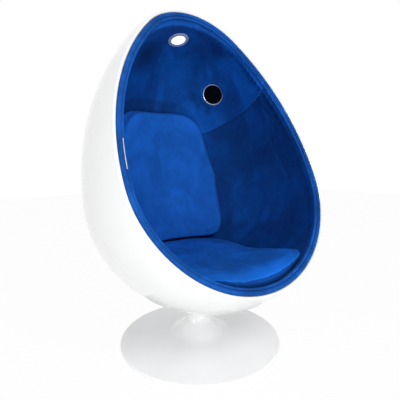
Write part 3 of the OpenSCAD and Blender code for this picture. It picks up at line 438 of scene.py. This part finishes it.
# name, dark, light, stretch of the patches, mottling, sheen, painted sheen streaks, patches of
# painted light and shade, and painted shade by facing
VELVETS = (
    ("lining", srgb(0, 65, 144), srgb(8, 90, 180), (1, 1, 0.6), 0.8, 0.08, 0.45, CROWN_LIGHT_AND_SHADE),
    # darker copies of the lining, as painted shade: the left crown panel and the lower side panels
    ("lining_left_shaded", srgb(0, 63, 142), srgb(0, 82, 170), (1, 1, 0.6), 0.7, 0.08, 0.35, CROWN_LIGHT_AND_SHADE),
    ("lining_low_shaded", srgb(0, 52, 120), srgb(0, 68, 144), (0.8, 1, 0.7), 0.8, 0.08, 0.4, SIDE_PAINTED_SHADE),
    ("cushion", srgb(12, 84, 172), srgb(24, 102, 204), (1, 1, 0.8), 0.6, 0.1, 0.22, (), "under"),
    ("seat", srgb(2, 78, 164), srgb(14, 100, 202), (1, 1, 1), 0.6, 0.1, 0.35, SEAT_PAINTED_LIGHT, "sides"),
    ("welt", srgb(4, 62, 134), srgb(18, 92, 184), (1, 1, 1), 0.9, 0.22, 0.3),
)
# name, dark, light, roughness, metal, grain's scale, grain's height and strength,
# specular level and stretch of the grain
PLAINS = (
    ("foam", (0.72, 0.66, 0.46), (0.85, 0.8, 0.62), 0.9, 0, 260, 0.001, 0.5, 0.2),
    ("plywood", (0.42, 0.27, 0.14), (0.62, 0.45, 0.27), 0.6, 0, 16, 0.0003, 0.25, 0.4,
     (0.5, 8, 8)),
    ("steel", (0.45, 0.46, 0.47), (0.6, 0.61, 0.62), 0.32, 1, 90, 0.0002, 0.15),
    ("black_steel", (0.012, 0.012, 0.014), (0.03, 0.03, 0.033), 0.5, 0, 400, 0.0002, 0.2),
    ("cast_alloy", (0.5, 0.51, 0.52), (0.64, 0.65, 0.66), 0.5, 1, 300, 0.0005, 0.35),
    ("bronze", (0.42, 0.27, 0.1), (0.56, 0.39, 0.18), 0.42, 1, 200, 0.0002, 0.2),
    ("bright_trim", (0.74, 0.76, 0.82), (0.88, 0.9, 0.95), 0.25, 0.4, 30, 0.0001, 0.1),
    ("grille_black", (0.001, 0.0015, 0.004), (0.003, 0.004, 0.008), 0.85, 0, 500, 0.0002, 0.2,
     0.05),
    ("cone_paper", (0.01, 0.01, 0.012), (0.022, 0.022, 0.024), 0.85, 0, 400, 0.0003, 0.3, 0.1),
    ("black_plastic", (0.015, 0.015, 0.017), (0.03, 0.03, 0.034), 0.55, 0, 800, 0.0003, 0.3),
    ("white_strip", (0.7, 0.71, 0.73), (0.86, 0.86, 0.88), 0.4, 0, 120, 0.0001, 0.15),
    ("lead_jacket", (0.012, 0.012, 0.012), (0.03, 0.03, 0.03), 0.6, 0, 300, 0.0002, 0.2),
    ("foot_rubber", (0.02, 0.02, 0.021), (0.045, 0.045, 0.046), 0.8, 0, 350, 0.0004, 0.35),
    ("circuit_board", (0.01, 0.09, 0.035), (0.03, 0.16, 0.07), 0.4, 0, 150, 0.0003, 0.2),
    ("light_trim", (0.3, 0.33, 0.56), (0.42, 0.45, 0.68), 0.35, 0, 90, 0.0001, 0.1),
)
MAT = {
    "gloss_shell": glossy("gloss_shell", (0.86, 0.86, 0.853), 0.1, 0.8),
    "base_paint": glossy("base_paint", (0.92, 0.92, 0.92), 0.14, 0.7),
    "lens_white": lens("lens_white"),
}
for row in VELVETS:
    MAT[row[0]] = velvet(*row)
for row in PLAINS:
    MAT[row[0]] = plain(*row)


# ---------------------------------------------------------------- the CAD nodes get materials
def velvet_for(slot):
    return MAT["cushion" if "cushion" in slot else "welt" if "welt" in slot else "lining"]


SLOT_OF = {s["node"]: s["material_slot"] for s in frame["record"]["subparts"]}
for name, obj in frame["nodes"].items():
    obj.data.materials.clear()
    obj.data.materials.append(MAT.get(SLOT_OF[name]) or velvet_for(SLOT_OF[name]))


# ---------------------------------------------------------------- shell
SHELL_COLS, OUT_ROWS, LIP_ROWS, IN_ROWS = 288, 190, 9, 110
POLE_GAP = 0.004  # share of the way to the edge at which the first ring stands


def shell_mesh():
    """One closed moulding: outer face, rounded lip, step behind the lip and inner face."""
    cols, theta, round_r = SHELL_COLS, full_turn(SHELL_COLS), LIP_W / 2
    outer_edge = edge_phi(theta, 0, 0, round_r)
    rows = [hit(outer_edge * s, theta, 0) for s in np.linspace(POLE_GAP, 1, OUT_ROWS)]
    rim_out = rows[-1]
    rim_in = hit(edge_phi(theta, LIP_W, 0, round_r), theta, LIP_W)
    for a in np.linspace(0, math.pi, LIP_ROWS + 2)[1:-1]:
        rows.append((rim_out + rim_in) / 2 + (rim_out - rim_in) / 2 * math.cos(a)
                    + MOUTH_FRONT * round_r * math.sin(a))
    rows.append(rim_in)
    rows.append(hit(edge_phi(theta, LIP_W, 0, LIP_DEEP), theta, LIP_W))
    back = edge_phi(theta, SHELL_WALL, 0, LIP_DEEP)
    for s in np.linspace(1, POLE_GAP, IN_ROWS):
        rows.append(hit(back * s, theta, SHELL_WALL))
    n = len(rows)
    faces = grid_faces(n, cols, True)
    pole = np.array([0.0])
    verts = list(np.concatenate([to_world(r) for r in rows]))
    verts += [to_world(hit(pole, pole, t))[0] for t in (0, SHELL_WALL)]
    for k in range(cols):
        m = (k + 1) % cols
        faces.append([n * cols, m, k])
        faces.append([n * cols + 1, (n - 1) * cols + k, (n - 1) * cols + m])
    return verts, faces


shell = make_object("shell_moulding", *shell_mesh(), MAT["gloss_shell"])
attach(shell, "pod")
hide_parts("shell")


# ---------------------------------------------------------------- base
BASE_R, NECK_TOP, NECK_R, NECK_ARC, NECK_SLOPE = 315.0, 115.0, 46.0, 48.0, 39.6
FOOT_ARC, BASE_EDGE, COVER_WALL, COVER_LIFT = 70.0, 5.0, 4.0, 0.6
BASE_COLS = 256


def base_curve(t, last_r):
    """The base's half section at depth t, from the neck outwards."""
    c45 = math.sqrt(0.5)
    neck = np.array([NECK_R + NECK_ARC, NECK_TOP])
    low = neck - NECK_ARC * c45 + NECK_SLOPE * np.array([c45, -c45])
    foot = low + FOOT_ARC * c45
    edge = np.array([BASE_R - BASE_EDGE, COVER_LIFT + BASE_EDGE])
    way = edge - foot
    tilt = math.asin((FOOT_ARC + BASE_EDGE) / np.linalg.norm(way)) + math.atan2(way[1], way[0])
    line = []
    for a in np.linspace(math.pi, 1.25 * math.pi, 26):
        line.append(neck + (NECK_ARC + t) * np.array([math.cos(a), math.sin(a)]))
    for s in np.linspace(0, 1, 8)[1:-1]:
        line.append(neck - (NECK_ARC + t) * c45 + s * NECK_SLOPE * np.array([c45, -c45]))
    for a in np.linspace(1.25 * math.pi, 1.5 * math.pi + tilt, 24):
        line.append(foot + (FOOT_ARC + t) * np.array([math.cos(a), math.sin(a)]))
    start = line[-1]
    fall = (edge[0] - last_r) * math.tan(-tilt)
    end_z = edge[1] + (BASE_EDGE - t) / math.cos(tilt) + fall
    for s in np.linspace(0, 1, 40)[1:]:
        line.append(start + s * (np.array([last_r, end_z]) - start))
    return line, edge, tilt


def lathe(name, line, cols, mat):
    """Turns a closed section about the base's axis."""
    ang = full_turn(cols)
    pts = [np.stack([r * np.cos(ang), r * np.sin(ang), np.full(cols, z)], 1) for r, z in line]
    top = len(line) * cols
    faces = [[v % top for v in f] for f in grid_faces(len(line) + 1, cols, True)]
    return make_object(name, np.concatenate(pts) * MM, faces, mat)


outer, edge, tilt = base_curve(0, BASE_R - BASE_EDGE)
outer = outer[:-1]
for a in np.linspace(math.pi / 2 + tilt, -math.pi / 2, 18):
    outer.append(edge + BASE_EDGE * np.array([math.cos(a), math.sin(a)]))
inner = base_curve(COVER_WALL, edge[0] - BASE_EDGE)[0]
outer.append(np.array([edge[0] - BASE_EDGE + 1, COVER_LIFT]))
cover = lathe("base_cover_moulding", outer + inner[::-1], BASE_COLS, MAT["base_paint"])
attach(cover, "base")
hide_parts("base_cover")


# ---------------------------------------------------------------- lining
SPEAKER_TURN, SPEAKER_RISE, SPEAKER_R = math.radians(61.5), math.radians(34.3), 46.5
SPEAKER_HOLE_R = SPEAKER_R - 1.5
LIGHT_HOLE_R = 30.8
LIGHT_EDGE_R = LIGHT_HOLE_R + 2
CROWN_UP = 500.0        # above this height the light's hole is near
PANEL_STEP, PANEL_SPAN = 5.5, 400
SEAM_GAP = 0.0004       # angle left free at a seam
FRONT_DEEP = EDGE_DEEP - 1.1
DEEPEST = -1.4          # the velvet may sink this far before the foam would show
VELVET_THICK = 1.2
FLAP_IN, FLAP_ROWS = 1.9, 9
DECK_TOP = (DECK_Z + 1) * MM
# Creases along the edge: distance from it, from and to which angle, and how deep;
# a crease below 0 catches the light
CREASES = ((66, -0.5, 0.02, 0.7), (82, -0.42, -0.05, -0.5), (112, -0.8, -0.3, 0.6),
           (124, -0.75, -0.35, -0.4), (58, 0.35, 0.8, 0.4))
BACK_LOW, BACK_TALL, BACK_HALF, BACK_POWER = 140, 314, 287, 2.8


def speaker_place(s):
    r = (SIDE_R - LINING_IN) * math.cos(SPEAKER_RISE) - SIDE_BOW
    return np.array([s * r * math.sin(SPEAKER_TURN), r * math.cos(SPEAKER_TURN),
                     (SIDE_R - LINING_IN) * math.sin(SPEAKER_RISE)])


def fbm(p, scale, seed, octaves=3):
    """Smooth noise at points in mm, with waves of about this many mm."""
    out = np.empty(len(p))
    for i, q in enumerate(p):
        out[i] = noise.fractal(Vector(q / scale) + Vector((seed, 0, 0)), 1.0, 2.0, octaves)
    return out


def into_room(p):
    """Normals of a grid of points, pointing into the room."""
    nrm = np.cross(np.gradient(p, axis=0), np.gradient(p, axis=1))
    nrm /= np.linalg.norm(nrm, axis=-1, keepdims=True)
    return nrm * np.sign(np.sum(nrm * (CENTRE - p), -1, keepdims=True))


def edge_folds(p, th, rim, roll, wob):
    """Height of the gathers and creases along the mouth's edge, with their painted shade and
    painted highlights.

    The edge is gathered on a cord: a soft roll with pleats behind it, most at the right.
    """
    along = th * 330
    near_right = (th + math.pi) % (2 * math.pi) - math.pi
    strong = 0.22 + 0.78 * np.exp(-((near_right - 0.02) / 0.42) ** 2)
    wave = np.sin(along / 4.1 + 2.2 * wob)
    valley = (0.5 - 0.5 * wave) ** 3
    behind = np.exp(-((rim - 27 - 5 * wob) / 11) ** 2) * (rim > 0)
    crest = np.exp(-((rim - 12) / 8) ** 2)
    h = strong * (4.5 * crest - 4.0 * behind * valley) * (1 - roll)
    h += 0.8 * np.exp(-rim / 26) * (1 - roll) * wave
    # painted shade in the pleats' valleys, painted highlight on the roll's crest
    painted_shading = strong * (1.25 * behind * valley - 0.4 * crest * (1 - 0.4 * valley))
    for off, low, high, by in CREASES:
        t = (th - 2 * math.pi * (th > math.pi * 1.2) - low) / (high - low)
        line = (np.exp(-((rim - off - 16 * wob) / 2.6) ** 2)
                * np.clip(4 * t * (1 - t), 0, 1) * ((t > 0) & (t < 1)))
        painted_shading += by * line
        h -= 1.2 * abs(by) * line
    h += 0.8 * np.exp(-((rim - 60) / 45) ** 2) * np.sin(along / 14 + rim / 30 + 3 * wob)
    return h, painted_shading


def cushion_shadow_band(p):
    """Painted shadow that the back cushion casts on the lining, in a band above it."""
    arc = np.arctan2(p[..., 0], p[..., 1]) * np.hypot(p[..., 0], p[..., 1])
    v = (p[..., 2] - BACK_LOW) / BACK_TALL
    u = arc / (BACK_HALF * (1 - 0.12 * np.sin(np.radians(np.clip(150 * v, 0, 90)))))
    ring = (np.abs(u) ** BACK_POWER + np.abs(v) ** BACK_POWER) ** (1 / BACK_POWER)
    limit = 1.125 - 0.05 * np.clip(u, 0, 1)
    inside = 1 / (1 + np.exp(np.clip((ring - limit) / 0.008, -40, 40)))
    return 0.55 * inside * (v > 0.25) * np.clip(1.35 - u, 0.3, 1)


def speaker_dents(p):
    """The velvet rises at a speaker's ring and dips beside it."""
    h = np.zeros(p.shape[:2])
    for s in (-1, 1):
        d = p - speaker_place(s)
        dist = np.linalg.norm(d, axis=-1)
        h += 1.6 * np.exp(-((dist - SPEAKER_R - 9) / 8) ** 2)
        dip = np.clip(d[..., 2] * -0.5 - s * d[..., 0] * 0.3 - d[..., 1] * -0.2, 0, None) / 40
        h -= 3.2 * np.exp(-((dist - SPEAKER_R - 22) / 8) ** 2) * np.clip(dip, 0, 1)
    return h


def open_holes(q, high):
    """Moves points inside the speaker and light holes out to the hole's edge."""
    inside = np.zeros(q.shape[:2], bool)
    for s in (-1, 1):
        away = q - speaker_place(s)
        dist = np.linalg.norm(away, axis=-1)
        inner = dist < SPEAKER_HOLE_R
        at_edge = speaker_place(s) + away * (SPEAKER_HOLE_R / np.maximum(dist, 1e-3))[..., None]
        q = np.where(inner[..., None], at_edge, q)
        inside |= inner
    if high.any():
        reach = np.hypot(q[..., 0], q[..., 1])
        inner = high & (reach < LIGHT_EDGE_R)
        grow = np.where(inner, LIGHT_EDGE_R / np.maximum(reach, 1e-3), 1)
        q[..., 0] *= grow
        q[..., 1] *= grow
        inside |= inner
    return q, inside


def lining_panel(name, node_name, start, stop, mat):
    """A sewn panel between two seam planes: a grid from the pod's back to the mouth."""
    cols = int(abs(stop - start) * PANEL_SPAN / PANEL_STEP)
    theta = np.linspace(start + SEAM_GAP, stop - SEAM_GAP, cols)
    edge = edge_phi(theta, LINING_IN, CROWN_FILL, FRONT_DEEP)
    share = np.concatenate([np.linspace(0.05, 0.8, 95), np.linspace(0.8, 1, 52)[1:]])
    phi = share[:, None] * edge[None, :]
    th = np.broadcast_to(theta, phi.shape)
    p = hit(phi, th, LINING_IN, CROWN_FILL)
    rows = len(share)
    # distance along the surface to the nearer seam, and to the mouth's edge
    radius = np.sin(phi) * np.linalg.norm(p - CENTRE, axis=-1)
    seam = np.minimum(radius * (th - start), radius * (stop - th))
    rim = depth_from_mouth(p) - FRONT_DEEP
    roll = np.clip(1 - rim / 12, 0, 1)
    h = (0.6 + 1.6 * (1 - np.exp(-seam / 12)) - 2.0 * np.exp(-(seam / 3.5) ** 2)) * (1 - roll)
    flat = p.reshape(-1, 3)
    h += 1.6 * fbm(flat, 170, 3.1).reshape(h.shape)
    wob = fbm(flat, 60, 9.7).reshape(h.shape)
    fold_h, painted_shading = edge_folds(p, th, rim, roll, wob)
    h += fold_h + speaker_dents(p)
    # the back cushion's painted shadow on the lining above it
    painted_shading += cushion_shadow_band(p)
    high = p[..., 2] > CROWN_UP
    reach = np.hypot(p[..., 0], p[..., 1])
    h = np.where(high, h * np.clip((reach - LIGHT_HOLE_R - 12) / 12, 0, 1), h)
    q, inside = open_holes(p + into_room(p) * np.maximum(h, DEEPEST)[..., None], high)
    # the velvet turns over the foam's front face and ends under the narrow welt
    tuck_in = LINING_IN - FLAP_IN
    tuck = hit(edge_phi(theta, tuck_in, 0, FRONT_DEEP), theta, tuck_in)
    flap = [q[-1] + (tuck - q[-1]) * k for k in np.linspace(0, 1, FLAP_ROWS + 1)[1:]]
    q = np.concatenate([q, np.stack(flap)])
    inside = np.concatenate([inside, np.zeros((FLAP_ROWS, cols), bool)])
    painted_shading = np.concatenate([painted_shading, np.zeros((FLAP_ROWS, cols))])
    for _ in range(3):
        part = q[rows - 6:rows + 5]
        q[rows - 5:rows + 4] = (part[:-2] + 2 * part[1:-1] + part[2:]) / 4
    rows += FLAP_ROWS
    world = to_world(q)
    # under the seat board the panel is cut off level
    inside |= world[..., 2] < DECK_TOP
    world[..., 2] = np.maximum(world[..., 2], DECK_TOP)
    whole = inside[:-1, :-1] & inside[1:, 1:] & inside[:-1, 1:] & inside[1:, :-1]
    faces = [f for f, w in zip(grid_faces(rows, cols), whole.reshape(-1)) if not w]
    obj = make_object(name, world.reshape(-1, 3), faces, mat)
    # the creases' painted shade and highlights and the cushion's painted shadow go to a point
    # attribute
    shade = obj.data.attributes.new("painted_shading", "FLOAT", "POINT")
    shade.data.foreach_set("value", painted_shading.reshape(-1).astype(np.float32))
    drop_loose(obj)
    solid = obj.modifiers.new("thickness", "SOLIDIFY")
    solid.thickness = VELVET_THICK * MM
    solid.offset = -1 if facing_in(obj) else 1
    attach(obj, "pod")
    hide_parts(node_name)


def drop_loose(obj):
    """Drops points that no face uses."""
    bm = bmesh.new()
    bm.from_mesh(obj.data)
    loose = [v for v in bm.verts if not v.link_faces]
    bmesh.ops.delete(bm, geom=loose, context="VERTS")
    bm.to_mesh(obj.data)
    bm.free()


def facing_in(obj):
    """Do the faces look into the pod?"""
    c = Vector(to_world(CENTRE))
    total = sum((c - f.center).dot(f.normal) for f in list(obj.data.polygons)[::50])
    return total > 0


HALF = math.pi / 2
CROWN = HALF + SEAM_LEAN
lining_panel("lining_crown_right_sewn", "lining_crown_right", 0, CROWN, MAT["lining"])
lining_panel("lining_crown_left_sewn", "lining_crown_left", CROWN, math.pi, MAT["lining_left_shaded"])
lining_panel("lining_side_left_sewn", "lining_side_left", math.pi, 3 * HALF, MAT["lining_low_shaded"])
lining_panel("lining_side_right_sewn", "lining_side_right", 3 * HALF, 4 * HALF,
             MAT["lining_low_shaded"])


# ---------------------------------------------------------------- welts
WELT_COLS, WELT_SIDES = 720, 20


def welt(name, node_name, inward, deep, radius, seed):
    """A covered cord around the mouth, with a soft uneven skin."""
    theta = full_turn(WELT_COLS)
    mid = hit(edge_phi(theta, inward, 0, deep), theta, inward)
    along = np.roll(mid, -1, 0) - np.roll(mid, 1, 0)
    along /= np.linalg.norm(along, axis=1, keepdims=True)
    out = np.cross(along, MOUTH_FRONT)
    length = np.cumsum(np.linalg.norm(np.diff(mid, axis=0, append=mid[:1]), axis=1))
    ring = []
    for k in range(WELT_SIDES):
        a = 2 * math.pi * k / WELT_SIDES
        ripple = (1 + 0.02 * np.sin(length / 9.0 + seed + 0.8 * math.sin(a))
                  + 0.018 * np.sin(length / 3.7 + seed * 2 + a))
        ring.append(mid + (radius * ripple)[:, None]
                    * (math.cos(a) * out + math.sin(a) * MOUTH_FRONT))
    faces = []
    for i in range(WELT_COLS):
        j = (i + 1) % WELT_COLS
        for k in range(WELT_SIDES):
            m = (k + 1) % WELT_SIDES
            faces.append([i * WELT_SIDES + k, i * WELT_SIDES + m,
                          j * WELT_SIDES + m, j * WELT_SIDES + k])
    obj = make_object(name, to_world(np.stack(ring, 1).reshape(-1, 3)), faces, MAT["welt"])
    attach(obj, "pod")
    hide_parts(node_name)


welt("outer_welt_cord", "outer_welt", OUTER_WELT_IN, OUTER_WELT_DEEP, OUTER_WELT_R, 0.4)
welt("inner_welt_cord", "inner_welt", INNER_WELT_IN, INNER_WELT_DEEP, INNER_WELT_R, 2.1)


# ---------------------------------------------------------------- cushions
VOXEL = 0.006
PAD_INSET, PUFF_CAP, PAD_FILL = 0.002, 0.004, 0.75
PRESSURE, PUFF_FRAMES = 4.0, 20


def copy_of(node_name, name, mat):
    src = frame["nodes"][node_name]
    obj = bpy.data.objects.new(name, src.data.copy())
    bpy.context.scene.collection.objects.link(obj)
    obj.data.materials.clear()
    obj.data.materials.append(mat)
    return obj


def apply(obj, modifier):
    bpy.ops.object.select_all(action="DESELECT")
    obj.select_set(True)
    bpy.context.view_layer.objects.active = obj
    bpy.ops.object.modifier_apply(modifier=modifier.name)


def remesh(obj, size):
    m = obj.modifiers.new("voxels", "REMESH")
    m.mode, m.voxel_size, m.use_smooth_shade = "VOXEL", size, True
    apply(obj, m)


def smooth(obj, factor, times):
    m = obj.modifiers.new("soften", "SMOOTH")
    m.factor, m.iterations = factor, times
    apply(obj, m)


def read_points(mesh, key="co"):
    values = np.empty(len(mesh.vertices) * 3)
    mesh.vertices.foreach_get(key, values)
    return values.reshape(-1, 3)


def put_points(obj, co):
    obj.data.vertices.foreach_set("co", co.reshape(-1))
    obj.data.update()


def puff(obj, cap):
    """Inflates the pad with a cloth simulation and caps how far a point may move."""
    rest = read_points(obj.data)
    cloth = obj.modifiers.new("cloth", "CLOTH")
    st = cloth.settings
    st.use_pressure, st.uniform_pressure_force = True, PRESSURE
    st.effector_weights.gravity = 0
    st.quality = 4
    st.tension_stiffness = st.compression_stiffness = 18
    st.bending_stiffness = 0.8
    cloth.collision_settings.use_collision = False
    scene = bpy.context.scene
    for f in range(1, PUFF_FRAMES + 1):
        scene.frame_set(f)
    deps = bpy.context.evaluated_depsgraph_get()
    move = read_points(obj.evaluated_get(deps).data) - rest
    obj.modifiers.remove(cloth)
    scene.frame_set(1)
    far = np.linalg.norm(move, axis=1, keepdims=True)
    put_points(obj, rest + move * np.minimum(1, cap / np.maximum(far, 1e-9)))


def cushion(node_name, name, mat, detail):
    obj = copy_of(node_name, name, mat)
    remesh(obj, VOXEL)
    smooth(obj, 0.5, 4)
    put_points(obj, read_points(obj.data) - read_points(obj.data, "normal") * PAD_INSET)
    puff(obj, PUFF_CAP)
    smooth(obj, 0.4, 3)
    co, n = read_points(obj.data), read_points(obj.data, "normal")
    put_points(obj, co + n * detail(co * 1000, n)[:, None])
    obj.data.polygons.foreach_set("use_smooth", [True] * len(obj.data.polygons))
    m = obj.modifiers.new("fine", "SUBSURF")
    m.levels = m.render_levels = 1
    m.boundary_smooth = "PRESERVE_CORNERS"
    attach(obj, "pod")
    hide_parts(node_name)


def seat_detail(q, n):
    """Waves all over and creases across the top, in metres, at points in mm."""
    soft = fbm(q, 120, 5.5)
    crease = fbm(q * np.array([1, 2.6, 1]), 45, 1.5, 2)
    top = np.clip((n[:, 2] - 0.4) / 0.4, 0, 1)
    return 0.0015 * soft + 0.0012 * top * crease


def back_detail(q, n):
    """Waves and faint upright creases, in metres, at points in mm."""
    soft = fbm(q, 130, 8.5)
    crease = fbm(q * np.array([1, 1, 0.4]), 40, 4.5, 2)
    return 0.0016 * soft + 0.0007 * crease


cushion("seat_cushion", "seat_cushion_pad", MAT["seat"], seat_detail)
cushion("back_cushion", "back_cushion_pad", MAT["cushion"], back_detail)


# ---------------------------------------------------------------- floor, world and lamps
FLOOR_REACH, FLOOR_WHITE = 6.0, 0.95
WORLD_STRENGTH, WORLD_COLOUR = 0.54, (0.95, 0.97, 1, 1)
WHITE = (1, 1, 1, 1)


def sees_backdrop(nt):
    """1 for camera, glossy and transmission rays, which see a plain white background."""
    path = nt.nodes.new("ShaderNodeLightPath").outputs
    either = maths(nt, "MAXIMUM", path["Is Camera Ray"], path["Is Glossy Ray"])
    return maths(nt, "MAXIMUM", either, path["Is Transmission Ray"])


def either_shader(nt, fac, first, second, out):
    m = nt.nodes.new("ShaderNodeMixShader")
    nt.links.new(fac, m.inputs["Fac"])
    nt.links.new(first, m.inputs[1])
    nt.links.new(second, m.inputs[2])
    nt.links.new(m.outputs["Shader"], out.inputs["Surface"])


def floor_material():
    """A white floor that still shows a little of the object's shadow."""
    mat, nt, bsdf = tree_of("stage_white")
    bsdf.inputs["Base Color"].default_value = (0.9, 0.9, 0.9, 1)
    bsdf.inputs["Roughness"].default_value = 0.9
    white = node(nt, "ShaderNodeEmission", Strength=1.0, Color=WHITE)
    fac = maths(nt, "MULTIPLY", sees_backdrop(nt), FLOOR_WHITE)
    either_shader(nt, fac, bsdf.outputs["BSDF"], white.outputs["Emission"],
                  nt.nodes["Material Output"])
    return mat


corners = [(x * FLOOR_REACH, y * FLOOR_REACH, 0) for x, y in ((-1, -1), (1, -1), (1, 1), (-1, 1))]
floor = make_object("floor", corners, [[0, 1, 2, 3]], floor_material(), False)

world = bpy.data.worlds.new("world")
bpy.context.scene.world = world
world.use_nodes = True
wt = world.node_tree
wt.nodes.clear()
lights = node(wt, "ShaderNodeBackground", Strength=WORLD_STRENGTH, Color=WORLD_COLOUR)
seen = node(wt, "ShaderNodeBackground", Strength=1.0, Color=WHITE)
either_shader(wt, sees_backdrop(wt), lights.outputs["Background"], seen.outputs["Background"],
              wt.nodes.new("ShaderNodeOutputWorld"))


# name, place, point it looks at, size and power
LAMPS = (("key", (-0.5, -2.6, 2.8), (0, 0, 0.5), 1.3, 40),
         ("left", (-2.8, 0.1, 1.4), (0, 0, 0.2), 1.5, 13),
         ("fill", (2.2, -2.4, 1.4), (0, 0, 0.6), 2.0, 5.5),
         ("front", (-0.7, -1.9, 0.14), (0, 0.1, 0.8), 0.22, 8),
         ("low", (-1.0, -1.2, 0.5), (-0.1, -0.05, 0.08), 0.4, 1.5))
for name, place, aim, size, power in LAMPS:
    data = bpy.data.lights.new(name, "AREA")
    data.shape, data.size, data.energy = "DISK", size, power
    lamp = bpy.data.objects.new(name, data)
    lamp.location = place
    way = Vector(aim) - Vector(place)
    lamp.rotation_euler = way.to_track_quat("-Z", "Y").to_euler()
    bpy.context.scene.collection.objects.link(lamp)
